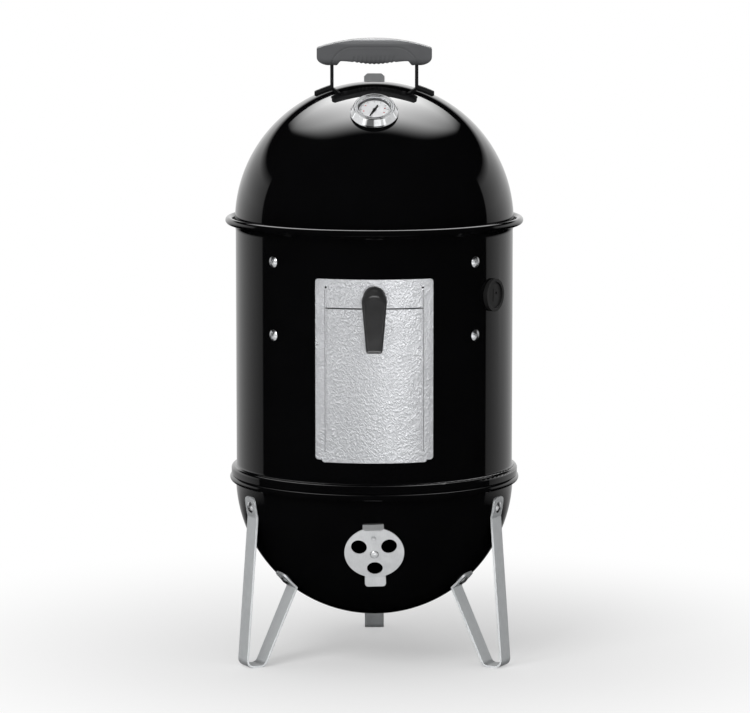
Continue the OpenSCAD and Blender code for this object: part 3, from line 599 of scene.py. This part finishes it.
FINISHES: dict[Slot, Enamel | Moulding | Metal | StuccoSheet | Lens | Paint] = {
    Slot.ENAMEL: Enamel(),
    Slot.GREY_NYLON: Moulding((0.098, 0.100, 0.104), (0.116, 0.118, 0.123), (0.36, 0.48)),
    Slot.BLACK_NYLON: Moulding((0.026, 0.026, 0.026), (0.036, 0.036, 0.037), (0.27, 0.37)),
    Slot.DARK_STEEL: Metal((0.018, 0.018, 0.019), (0.032, 0.032, 0.033), (0.36, 0.50), metallic=0.2),
    Slot.ZINC_STEEL: Metal((0.58, 0.59, 0.60), (0.72, 0.73, 0.74), (0.22, 0.36), (1.0, 1.0, 4.0)),
    Slot.SHEET_ALUMINIUM: Metal((0.62, 0.63, 0.64), (0.74, 0.75, 0.76), (0.44, 0.56), (12.0, 1.0, 1.0), 0.5),
    Slot.STUCCO_ALUMINIUM: StuccoSheet(),
    Slot.LEG_STRAP: Metal((0.62, 0.64, 0.65), (0.72, 0.74, 0.75), (0.38, 0.50), (10.0, 10.0, 1.0), 0.6),
    Slot.CHROME: Metal((0.74, 0.75, 0.76), (0.84, 0.85, 0.86), (0.07, 0.13), (1.0, 1.0, 3.0)),
    Slot.DIAL_WHITE: Paint((0.64, 0.65, 0.66), (0.70, 0.70, 0.71)),
    Slot.NEEDLE_BLACK: Paint((0.006, 0.006, 0.006), (0.012, 0.012, 0.012)),
    Slot.GLASS: Lens(),
    Slot.BIMETAL: Metal((0.50, 0.36, 0.20), (0.62, 0.46, 0.27), (0.25, 0.4)),
    Slot.RUBBER: Moulding((0.010, 0.010, 0.010), (0.016, 0.016, 0.016), (0.38, 0.55), 1500.0, 0.00008),
    Slot.PLATED_WIRE: Metal((0.60, 0.60, 0.60), (0.76, 0.76, 0.76), (0.16, 0.28), (4.0, 4.0, 4.0)),
    Slot.PLAIN_STEEL: Metal((0.24, 0.24, 0.24), (0.36, 0.36, 0.37), (0.38, 0.55), (5.0, 5.0, 5.0)),
}
DIAL_RED = Paint((0.55, 0.03, 0.03), (0.62, 0.05, 0.05))


class Workshop:
    """Holds the made materials and gives pieces and nodes their finish."""

    softness: float = 0.5
    last_rounds: int = 2

    def __init__(self) -> None:
        """Makes each finish's material once."""
        self.made: dict[Slot, bpy.types.Material] = {
            slot: finish.build("finish_" + slot.value) for slot, finish in FINISHES.items()
        }
        self.red = DIAL_RED.build("finish_dial_red")

    def dress_node(self, name: str) -> None:
        """Gives a carried-over node its finish.

        Args:
            name: the node's name.
        """
        node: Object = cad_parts[name]
        for holder in node.material_slots:
            holder.material = self.made[Slot(holder.material.name.split(".")[0])]
        log.info("node %s dressed", name)

    def piece(self, name: str, mesh: Mesh, slot: Slot, body: Body, stands_for: Iterable[str] = ()) -> Object:
        """Makes a new piece out of a mesh.

        Args:
            name: the piece's name.
            mesh: its mesh, in the frame's metres.
            slot: its finish.
            body: what it rides on.
            stands_for: the nodes that it replaces.

        Returns:
            The piece.
        """
        made = bpy.data.objects.new(name, mesh)
        bpy.context.scene.collection.objects.link(made)
        mesh.materials.clear()
        mesh.materials.append(self.made[slot])
        for face in mesh.polygons:
            face.use_smooth = True
        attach(made, body.value)
        if stands_for:
            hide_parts(*stands_for)
        log.info("piece %s made: %d faces", name, len(mesh.polygons))
        return made

    def mould(self, node: str, grain: float, rounds: int, move: Callable[[Vector, Vector], Vector]) -> Mesh:
        """Copies a node's shape as an even mesh and moves its points.

        Args:
            node: the node that is copied.
            grain: the size of one face, in millimetres.
            rounds: how often the copy is softened first.
            move: gives a point its new place, from its place and its facing.

        Returns:
            The moulded mesh.
        """
        copy = bpy.data.objects.new(node + "_blank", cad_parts[node].data.copy())
        bpy.context.scene.collection.objects.link(copy)
        even = copy.modifiers.new("even", "REMESH")
        even.mode, even.voxel_size = "VOXEL", grain * MM
        soft = copy.modifiers.new("soft", "SMOOTH")
        soft.factor, soft.iterations = self.softness, rounds
        mesh = bpy.data.meshes.new_from_object(copy.evaluated_get(bpy.context.evaluated_depsgraph_get()))
        bpy.data.objects.remove(copy)
        points = [(each.co.copy(), each.normal.copy()) for each in mesh.vertices]
        for each, (place, facing) in zip(mesh.vertices, points):
            each.co = move(place, facing)
        shape = bmesh.new()
        shape.from_mesh(mesh)
        for _ in range(self.last_rounds):
            bmesh.ops.smooth_vert(
                shape, verts=shape.verts, factor=self.softness,
                use_axis_x=True, use_axis_y=True, use_axis_z=True,
            )
        shape.to_mesh(mesh)
        shape.free()
        return mesh


@dataclass
class Assembly:
    """A sub-assembly: the nodes that it carries over and their finish."""

    workshop: Workshop
    nodes: tuple[str, ...] = ()

    def build(self) -> None:
        """Makes the pieces that aren't nodes: none unless a sub-assembly adds some."""

    def dress(self) -> None:
        """Gives each carried-over node its finish."""
        for name in self.nodes:
            self.workshop.dress_node(name)


@dataclass
class Lid(Assembly):
    """The domed lid with its handle and damper; the grip's sizes are in millimetres."""

    nodes: tuple[str, ...] = (
        "lid_shell", "lid_handle_grip", "lid_handle_strap_left", "lid_handle_strap_right",
        "lid_handle_screws", "lid_damper", "lid_damper_rivet",
    )
    groove_flat: float = 26.0
    groove_reach: Pair = (27.6, 24.8)
    groove_low: float = -1.8
    groove_depth: float = 0.8
    groove_width: float = 0.8
    panel_depth: float = 0.5
    panel_edge: float = 2.5
    flute_pitch: float = 5.5
    flute_depth: float = 1.0
    flute_run: float = 29.0
    flute_end: float = 3.0
    flute_top: Pair = (8.0, 14.0)
    front_turn: Pair = (0.3, 0.7)
    grain: float = 0.7
    rounds: int = 3

    def build(self) -> None:
        """Moulds the grip, with its arched groove and the finger flutes under it."""
        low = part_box("lid_handle_grip")[0].z

        def move(place: Vector, facing: Vector) -> Vector:
            """Presses the groove, the panel inside it and the flutes into one point.

            Args:
                place: the point.
                facing: the way the surface faces there.

            Returns:
                Its new place.
            """
            x, up = place.x / MM, (place.z - low) / MM
            wide, tall = self.groove_reach
            ring = math.hypot(max(abs(x) - self.groove_flat, 0.0) / wide, (up - self.groove_low) / tall)
            away = (ring - 1.0) * tall
            groove = self.groove_depth * math.exp(-((away / self.groove_width) ** 2))
            panel = self.panel_depth * ease(-away, 0.0, self.panel_edge)
            flute = self.flute_depth * (0.5 - 0.5 * math.cos(2.0 * math.pi * x / self.flute_pitch))
            flute *= ease(self.flute_run - abs(x), 0.0, self.flute_end) * (1.0 - ease(up, *self.flute_top))
            return place - facing * ((groove + panel) * ease(abs(facing.y), *self.front_turn) + flute) * MM

        mesh = self.workshop.mould("lid_handle_grip", self.grain, self.rounds, move)
        self.workshop.piece("handle_grip", mesh, Slot.GREY_NYLON, Body.LID, ["lid_handle_grip"])


@dataclass
class Thermometer(Assembly):
    """The thermometer in the lid, in millimetres and degrees."""

    nodes: tuple[str, ...] = (
        "thermometer_bezel", "thermometer_dial", "thermometer_lens", "thermometer_needle",
        "thermometer_stem", "thermometer_nut", "thermometer_bimetal",
    )
    dome_z: float = 555.33
    dial_thick: float = 1.0
    ink: float = 0.06
    sweep: int = 140
    major: int = 28
    minor: int = 7
    long_tick: Point = (15.4, 18.4, 0.55)
    short_tick: Point = (16.9, 18.4, 0.25)
    ring_sides: int = 96
    ring_section: Stops = (
        (19.35, 0.02), (19.45, 0.7), (19.6, 2.9), (19.7, 3.15), (19.95, 3.2), (19.95, 0.02),
    )
    red_marks: tuple[tuple[float, float, float, float], ...] = (
        (-95.0, 12.2, 14.2, 1.7), (-49.0, 13.2, 15.4, 1.5), (72.0, 12.6, 14.6, 1.7), (110.0, 11.8, 13.8, 1.6),
    )

    def dress(self) -> None:
        """Gives the nodes their finish and lets lamplight through the lens."""
        super().dress()
        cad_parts["thermometer_lens"].visible_shadow = False

    def build(self) -> None:
        """Prints the dial's scale and its red marks, and sets the dark grey ring that carries the lens and
        stands in for the shade on the bezel's inner wall.
        """
        low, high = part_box("thermometer_dial")
        middle = (low + high) / 2.0
        axis = (middle - Vector((0.0, 0.0, self.dome_z * MM))).normalized()
        face = middle + axis * (self.dial_thick / 2.0) * MM
        scale = [
            (turn, *(self.short_tick if turn % self.major else self.long_tick))
            for turn in range(-self.sweep, self.sweep + 1, self.minor)
        ]
        for name, strips, red in (("dial_scale", scale, False), ("dial_red_marks", self.red_marks, True)):
            mesh = self.strips(name, face, axis, strips)
            made = self.workshop.piece(name, mesh, Slot.NEEDLE_BLACK, Body.LID)
            if red:
                mesh.materials[0] = self.workshop.red
        # a dark grey ring lines the bezel's bore as painted shade on its inner wall
        self.workshop.piece("dial_shade_ring", self.ring("dial_shade_ring", face, axis), Slot.GREY_NYLON, Body.LID)

    def ring(self, name: str, face: Vector, axis: Vector) -> Mesh:
        """Makes the ring that stands on the dial's edge and carries the lens; its dark grey is painted shade
        on the bezel's inner wall.

        Args:
            name: the mesh's name.
            face: the middle of the dial's face.
            axis: the way the dial faces.

        Returns:
            The mesh.
        """
        across = Vector(RIGHT)
        upward = axis.cross(across)
        shape = bmesh.new()
        loops = []
        for i in range(self.ring_sides):
            turn = 2.0 * math.pi * i / self.ring_sides
            out = across * math.cos(turn) + upward * math.sin(turn)
            loops.append([shape.verts.new(face + (out * r + axis * h) * MM) for r, h in self.ring_section])
        for here, after in zip(loops, loops[1:] + loops[:1]):
            for j in range(len(here)):
                k = (j + 1) % len(here)
                shape.faces.new((here[j], here[k], after[k], after[j]))
        return drawn_mesh(name, shape)

    def strips(self, name: str, face: Vector, axis: Vector, rows: Iterable[tuple[float, ...]]) -> Mesh:
        """Makes the printed strips of the dial as thin raised plates.

        Args:
            name: the mesh's name.
            face: the middle of the dial's face.
            axis: the way the dial faces.
            rows: each strip's turn from the top in degrees, inner and outer radius and width in millimetres.

        Returns:
            The mesh.
        """
        across = Vector(RIGHT)
        upward = axis.cross(across)
        shape = bmesh.new()
        for turn, inner, outer, width in rows:
            out = across * math.sin(math.radians(turn)) + upward * math.cos(math.radians(turn))
            side = axis.cross(out)
            corners = [(inner, -1.0), (inner, 1.0), (outer, 1.0), (outer, -1.0)]
            foot = [shape.verts.new(face + (out * r + side * (w * width / 2.0)) * MM) for r, w in corners]
            top = [shape.verts.new(vert.co + axis * self.ink * MM) for vert in foot]
            shape.faces.new(top)
            for i in range(4):
                shape.faces.new((foot[i], foot[(i + 1) % 4], top[(i + 1) % 4], top[i]))
        return drawn_mesh(name, shape)


@dataclass
class Barrel(Assembly):
    """The barrel with its brackets, bolts and grommet."""

    nodes: tuple[str, ...] = (
        "barrel_shell", "bracket_front_left", "bracket_front_right", "bracket_rear_left",
        "bracket_rear_right", "bracket_bolts", "bracket_nuts", "probe_grommet",
    )


@dataclass
class Door(Assembly):
    """The barrel's door with its latch; the paddle's sizes are in millimetres."""

    nodes: tuple[str, ...] = (
        "door_panel", "door_rest_tabs", "latch_paddle", "latch_bolt", "latch_washer",
        "latch_tongue", "latch_nut",
    )
    pivot_z: float = 474.0
    half: float = 15.5
    head: float = 14.0
    crown: float = 4.4
    tip_half: float = 10.25
    length: float = 63.0
    tip_corner: float = 4.0
    side_round: float = 4.0
    head_round: float = 15.0
    dish: float = 1.8
    dish_middle: float = -3.4
    dish_edge: Pair = (9.4, 13.2)
    dish_least: float = 0.12
    dish_span: Pair = (-42.0, 4.0)
    head_span: Pair = (-4.0, 9.0)
    grain: float = 0.6
    rounds: int = 2

    def inset(self, x: float, up: float) -> float:
        """Measures how far inside the paddle's outline a point of its face lies.

        Args:
            x: the point's place across the paddle, in millimetres.
            up: its height above the latch's bolt, in millimetres.

        Returns:
            The distance to the outline, in millimetres.
        """
        x = abs(x)
        if up < 0.0:
            run, taper = self.length - self.tip_corner, self.half - self.tip_half
            return min(((self.half - x) * run + up * taper) / math.hypot(run, taper), up + self.length)
        lean = (self.half - self.head) / self.crown
        slant = math.sqrt(1.0 - lean * lean)
        along = slant * up - lean * x
        if along < 0.0:
            return self.half - math.hypot(x, up)
        if along > slant * self.crown:
            return self.head - math.hypot(x, up - self.crown)
        return self.half - slant * x - lean * up

    def reach(self, x: float, up: float) -> float:
        """Measures how far out a point lies in the dish, as if the paddle didn't taper.

        Args:
            x: the point's place across the paddle, in millimetres.
            up: its height above the latch's bolt, in millimetres.

        Returns:
            The distance from the dish's middle line, in millimetres.
        """
        narrow = 1.0 + (1.0 - self.tip_half / self.half) * min(up, 0.0) / self.length
        return math.hypot(x, max(up - self.dish_middle, 0.0)) / narrow

    def build(self) -> None:
        """Moulds the latch's paddle, with its domed head, rounded sides and shallow dish."""
        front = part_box("latch_paddle")[0].y

        def move(place: Vector, facing: Vector) -> Vector:
            """Draws one point of the face back to the rounded form.

            Args:
                place: the point.
                facing: the way the surface faces there, which doesn't count here.

            Returns:
                Its new place.
            """
            x, up = place.x / MM, place.z / MM - self.pivot_z
            bend = self.side_round + (self.head_round - self.side_round) * ease(up, *self.head_span)
            rest = bend - min(max(self.inset(x, up), 0.0), bend)
            drop = bend - math.sqrt(bend * bend - rest * rest)
            fade = self.dish_least + (1.0 - self.dish_least) * ease(up, *self.dish_span)
            drop += self.dish * fade * (1.0 - ease(self.reach(x, up), *self.dish_edge))
            return Vector((place.x, max(place.y, front + drop * MM), place.z))

        mesh = self.workshop.mould("latch_paddle", self.grain, self.rounds, move)
        self.workshop.piece("paddle", mesh, Slot.BLACK_NYLON, Body.LATCH, ["latch_paddle"])


@dataclass
class CookingSet(Assembly):
    """The two cooking grates and the water pan."""

    nodes: tuple[str, ...] = (
        "top_grate", "top_grate_handles", "lower_grate", "lower_grate_handles", "water_pan",
    )


@dataclass
class FireBase(Assembly):
    """The charcoal bowl with its damper, legs, grate and ring."""

    nodes: tuple[str, ...] = (
        "charcoal_bowl", "bowl_damper", "bowl_damper_rivet", "leg_front_left", "leg_front_right",
        "leg_rear", "leg_bolts", "leg_nuts", "charcoal_grate", "charcoal_ring",
    )
    legs: tuple[str, ...] = ("leg_front_left", "leg_front_right", "leg_rear")

    def dress(self) -> None:
        """Gives the nodes their finish and keeps the legs out of the glaze's mirror."""
        super().dress()
        for name in self.legs:
            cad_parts[name].visible_glossy = False


@dataclass(frozen=True)
class Panel:
    """An oblong panel of light that only gloss shows; a level of 1 is white."""

    name: str
    middle: Point
    facing: Point
    size: Pair
    level: float = 1.0


@dataclass(frozen=True)
class Lamp:
    """An oblong lamp that looks at the object; its power is in watts."""

    name: str
    place: Point
    size: Pair
    power: float
    gloss: bool


@dataclass
class Studio:
    """Camera, floor, backdrop and lamps, in metres and degrees."""

    camera_place: Point = (0.0, -5.0, 1.0336)
    camera_tilt: float = 82.5
    lens: float = 190.8
    sensor: float = 36.0
    shift: Pair = (0.00093, 0.0076)
    ambient: float = 0.62
    back_edge: Pair = (0.268, 0.288)
    back_side: Ramp = ((0.28, 0.94), (0.242, 0.605))
    back_rise: Ramp = ((-0.15, 0.08), (0.95, 1.75))
    back_top: Pair = (0.27, 0.36)
    back_foot: Pair = (-0.30, -0.16)
    floor_radius: float = 3.0
    floor_sides: int = 96
    floor_white: float = 0.93
    floor_rough: float = 0.9
    floor_fade: Ramp = ((0.15, 0.80), (0.35, 1.0))
    sky: Panel = Panel("softbox", (0.0, 1.34, 2.7), DOWN, (4.42, 3.58))
    sky_slope: Pair = (-5.0, 11.0)
    sky_edge: Pair = (-0.45, 0.50)
    sky_bend: float = -0.085
    sky_power: float = 4.0
    sky_far: Ramp = ((1.9, 3.3), (1.0, 0.5))
    wire_sky: Panel = Panel("wire_sky", (0.0, 0.3, 2.8), DOWN, (3.6, 3.6), 1.5)
    tent_floor: Panel = Panel("tent_floor", (0.0, -1.5, 0.0), UP, (6.0, 3.0))
    tent_tones: Stops = (
        (-35.5, 0.86), (-34.0, 0.16), (-2.5, 0.16), (-1.0, 0.95), (10.0, 1.15), (29.5, 1.15), (31.5, 0.68),
    )
    tent_sides: tuple[Panel, ...] = (
        Panel("tent_left", (-2.0, -1.0, 0.9), RIGHT, (3.4, 1.8), 0.86),
        Panel("tent_right", (2.0, -1.0, 0.9), LEFT, (3.4, 1.8), 0.68),
    )
    tent_top: Panel = Panel("tent_top", (0.0, 0.3, 2.6), DOWN, (2.6, 2.6))
    tent_hole: Ramp = ((0.22, 0.42), (0.16, 1.3))
    tent_end: Ramp = ((0.6, 0.9), (1.0, 0.35))
    door_screen: Panel = Panel("door_screen", (0.0, -2.5, 0.25), BACKWARD, (8.0, 1.3))
    door_fall: Ramp = ((-0.4, 0.8), (0.1, 3.4))
    front_screen: Panel = Panel("front_screen", (0.0, -2.5, 0.5), BACKWARD, (8.0, 3.0))
    screen_tones: Stops = (
        (-50.0, 0.82), (-34.0, 0.82), (-18.0, 0.52), (-4.0, 0.60),
        (10.0, 1.12), (20.0, 1.12), (34.0, 0.74), (50.0, 0.72),
    )
    door_paper: Panel = Panel("door_paper", (0.0, -0.6, 0.0), UP, (3.0, 0.8), 0.35)
    front_paper: Panel = Panel("front_paper", (0.0, -1.3, 0.0), UP, (5.0, 2.4), 0.74)
    tall_screen: Panel = Panel("tall_screen", (0.0, -2.2, 0.6), BACKWARD, (7.0, 3.0), 2.5)
    paddle_paper: Panel = Panel("paddle_paper", (0.0, -0.8, 0.0), UP, (1.6, 0.9), 5.0)
    lamp_aim: Point = (0.0, 0.0, 0.40)
    key: Lamp = Lamp("key", (-1.5, -2.4, 2.7), (1.6, 1.6), 46.0, False)
    zinc_gleam: Lamp = Lamp("zinc_gleam", (-1.2, -2.4, 1.9), (0.7, 0.7), 30.0, True)
    grip_gleam: Lamp = Lamp("grip_gleam", (0.0, -2.2, 2.7), (1.5, 0.8), 14.0, True)
    dial_fill: Lamp = Lamp("dial_fill", (0.0, -1.2, 2.4), (0.6, 0.6), 16.0, False)

    def camera(self) -> None:
        """Makes the camera at the photograph's viewing angle."""
        data = bpy.data.cameras.new("camera")
        data.lens, data.sensor_width = self.lens, self.sensor
        data.shift_x, data.shift_y = self.shift
        made = bpy.data.objects.new("camera", data)
        made.location = self.camera_place
        made.rotation_euler = (math.radians(self.camera_tilt), 0.0, 0.0)
        bpy.context.scene.collection.objects.link(made)
        bpy.context.scene.camera = made
        bpy.context.scene.view_settings.view_transform = "Standard"

    def world(self) -> None:
        """Makes a plain ambient light, and a white background that gloss sees behind the object."""
        world = bpy.data.worlds.new("studio")
        bpy.context.scene.world = world
        world.use_nodes = True
        nodes = Nodes(world.node_tree)
        sky = nodes.add("ShaderNodeBackground")
        sky.inputs["Color"].default_value = (1.0, 1.0, 1.0, 1.0)
        maths, remap = nodes.maths, nodes.remap
        x, y, z = nodes.parts(nodes.add("ShaderNodeTexCoord").outputs["Generated"])
        back = maths("DIVIDE", y, maths("MAXIMUM", nodes.length(x, y), TINY))
        white = nodes.times(
            remap(back, self.back_edge, RISE), remap(back, *self.back_side), remap(z, *self.back_rise),
            remap(z, self.back_top, FALL), remap(z, self.back_foot, RISE),
        )
        path = nodes.add("ShaderNodeLightPath")
        mirrored = maths("MAXIMUM", path.outputs["Is Glossy Ray"], path.outputs["Is Transmission Ray"])
        plain = nodes.times(maths("SUBTRACT", 1.0, mirrored), self.ambient)
        level = maths("ADD", plain, nodes.times(white, mirrored))
        nodes.link(maths("MAXIMUM", level, path.outputs["Is Camera Ray"]), sky.inputs["Strength"])
        nodes.link(sky.outputs[0], nodes.add("ShaderNodeOutputWorld").inputs["Surface"])

    def floor(self) -> None:
        """Makes the pale floor, which keeps the shadow near the object and fades to white."""
        mesh = bpy.data.meshes.new("floor")
        shape = bmesh.new()
        bmesh.ops.create_circle(shape, cap_ends=True, radius=self.floor_radius, segments=self.floor_sides)
        shape.to_mesh(mesh)
        shape.free()
        graph = Graph("floor_paper")
        graph.put("Base Color", (self.floor_white, self.floor_white, self.floor_white, 1.0))
        graph.put("Roughness", self.floor_rough)
        graph.put("Specular IOR Level", 0.0)
        glow = graph.add("ShaderNodeEmission")
        mix = graph.add("ShaderNodeMixShader")
        away = graph.add("ShaderNodeVectorMath")
        away.operation = "LENGTH"
        graph.link(graph.place, away.inputs[0])
        path = graph.add("ShaderNodeLightPath")
        seen = graph.maths("MAXIMUM", path.outputs["Is Camera Ray"], path.outputs["Is Glossy Ray"])
        seen = graph.maths("MAXIMUM", seen, path.outputs["Is Transmission Ray"])
        fade = graph.remap(away.outputs["Value"], *self.floor_fade, soft=True)
        graph.link(graph.times(fade, seen), mix.inputs[0])
        graph.link(graph.shader.outputs[0], mix.inputs[1])
        graph.link(glow.outputs[0], mix.inputs[2])
        graph.link(mix.outputs[0], graph.output.inputs["Surface"])
        mesh.materials.append(graph.material)
        made = bpy.data.objects.new("floor", mesh)
        bpy.context.scene.collection.objects.link(made)
        made.visible_glossy = False
        made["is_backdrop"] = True

    def only(self, source: Object, names: Iterable[str]) -> None:
        """Lets a source light the named objects alone.

        Args:
            source: the lamp or the panel.
            names: the objects that it lights.
        """
        lit = bpy.data.collections.new(source.name + "_lights")
        for each in names:
            lit.objects.link(bpy.data.objects[each])
        source.light_linking.receiver_collection = lit

    def area(self, name: str, place: Point, aim: Vector, size: Pair, power: float) -> Object:
        """Makes an oblong source of light that the camera doesn't see.

        Args:
            name: the source's name.
            place: where its middle is.
            aim: the way it faces.
            size: its width and height.
            power: its power in watts.

        Returns:
            The source.
        """
        data = bpy.data.lights.new(name, "AREA")
        data.shape = "RECTANGLE"
        data.size, data.size_y = size
        data.energy = power
        made = bpy.data.objects.new(name, data)
        made.location = place
        made.rotation_euler = aim.to_track_quat("-Z", "Y").to_euler()
        bpy.context.scene.collection.objects.link(made)
        made.visible_camera = False
        return made

    def hang(self, panel: Panel, lights: Iterable[str]) -> tuple[Nodes, Socket, Socket]:
        """Hangs a panel of light that only the gloss of the named objects shows.

        Args:
            panel: what is hung.
            lights: the objects that mirror it.

        Returns:
            The panel's nodes, the place on it and the socket for its brightness.
        """
        width, height = panel.size
        made = self.area(panel.name, panel.middle, Vector(panel.facing), panel.size, math.pi * width * height)
        made.visible_diffuse = False
        made.data.use_nodes = True
        nodes = Nodes(made.data.node_tree)
        glow = nodes.add("ShaderNodeEmission")
        glow.inputs["Strength"].default_value = panel.level
        nodes.link(glow.outputs[0], nodes.add("ShaderNodeOutputLight").inputs[0])
        self.only(made, lights)
        return nodes, nodes.add("ShaderNodeNewGeometry").outputs["Position"], glow.inputs["Strength"]

    def shine(self, lamp: Lamp, lights: Sequence[str] = ()) -> None:
        """Adds a lamp that looks at the object.

        Args:
            lamp: what is added.
            lights: the objects that it lights, or all.
        """
        aim = Vector(self.lamp_aim) - Vector(lamp.place)
        made = self.area(lamp.name, lamp.place, aim, lamp.size, lamp.power)
        made.visible_glossy = lamp.gloss
        if lights:
            self.only(made, lights)

    def softbox(self, names: list[str]) -> None:
        """Hangs the large soft panel above and behind, brightest in the middle.

        Args:
            names: the objects that mirror it.
        """
        nodes, place, level = self.hang(self.sky, names)
        x, y, _ = nodes.parts(place)
        side = nodes.maths("ABSOLUTE", x)
        tone = nodes.maths("MAXIMUM", nodes.maths("MULTIPLY_ADD", side, *self.sky_slope), 0.0)
        near = nodes.maths("MULTIPLY_ADD", nodes.maths("POWER", side, self.sky_power), self.sky_bend, y)
        edge = nodes.remap(near, self.sky_edge, RISE, soft=True)
        nodes.link(nodes.times(tone, edge, nodes.remap(y, *self.sky_far)), level)

    def tent(self, names: list[str]) -> None:
        """Puts a tent of panels around the bright trim, with a dark gap where the camera stands.

        Args:
            names: the objects that mirror it.
        """
        nodes, place, level = self.hang(self.tent_floor, names)
        nodes.link(nodes.tones(place, self.tent_tones), level)
        for panel in self.tent_sides:
            self.hang(panel, names)
        nodes, place, level = self.hang(self.tent_top, names)
        x, y, _ = nodes.parts(place)
        away = nodes.length(x, nodes.maths("SUBTRACT", y, self.tent_top.middle[1]))
        nodes.link(nodes.times(nodes.remap(away, *self.tent_hole), nodes.remap(away, *self.tent_end)), level)

    def screens(self, door: list[str], sheet: list[str], legs: list[str]) -> None:
        """Puts bright screens in front of the bare metals, and paper on the floor.

        Args:
            door: the objects that mirror the low screen and its paper.
            sheet: the objects that mirror the front screen and its paper.
            legs: the objects that mirror the tall screen.
        """
        nodes, place, level = self.hang(self.door_screen, door)
        fall = nodes.remap(nodes.parts(place)[2], *self.door_fall)
        nodes.link(nodes.times(nodes.tones(place, self.screen_tones), fall), level)
        nodes, place, level = self.hang(self.front_screen, sheet)
        nodes.link(nodes.tones(place, self.screen_tones), level)
        self.hang(self.door_paper, door)
        self.hang(self.front_paper, sheet)
        self.hang(self.tall_screen, legs)

    @staticmethod
    def dressed_in(*slots: Slot) -> list[str]:
        """Names the pieces that have one of the given finishes.

        Args:
            slots: the finishes.

        Returns:
            The pieces' names.
        """
        wanted = {"finish_" + slot.value for slot in slots}
        return [
            piece.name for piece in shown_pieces()
            if piece.material_slots and piece.material_slots[0].material.name in wanted
        ]

    def build(self) -> None:
        """Makes the whole studio around the finished object."""
        self.world()
        self.floor()
        self.softbox(self.dressed_in(
            Slot.ENAMEL, Slot.DARK_STEEL, Slot.GREY_NYLON, Slot.BLACK_NYLON, Slot.RUBBER,
        ))
        self.hang(self.wire_sky, self.dressed_in(Slot.PLATED_WIRE, Slot.PLAIN_STEEL))
        self.tent(self.dressed_in(Slot.CHROME))
        self.screens(
            self.dressed_in(Slot.STUCCO_ALUMINIUM), self.dressed_in(Slot.SHEET_ALUMINIUM, Slot.ZINC_STEEL),
            self.dressed_in(Slot.LEG_STRAP),
        )
        self.hang(self.paddle_paper, self.dressed_in(Slot.BLACK_NYLON))
        self.shine(self.key)
        self.shine(self.zinc_gleam, [name for name in self.dressed_in(Slot.ZINC_STEEL) if "tabs" not in name])
        self.shine(self.grip_gleam, self.dressed_in(Slot.GREY_NYLON, Slot.RUBBER))
        self.shine(self.dial_fill, self.dressed_in(Slot.DIAL_WHITE))


def main() -> None:
    """Builds the studio's camera, each sub-assembly in order, then the light."""
    logging.basicConfig(level=logging.INFO, format="%(message)s")
    studio = Studio()
    studio.camera()
    workshop = Workshop()
    for kind in (Lid, Thermometer, Barrel, Door, CookingSet, FireBase):
        assembly = kind(workshop)
        assembly.dress()
        assembly.build()
    studio.build()


if __name__ == "__main__":
    main()
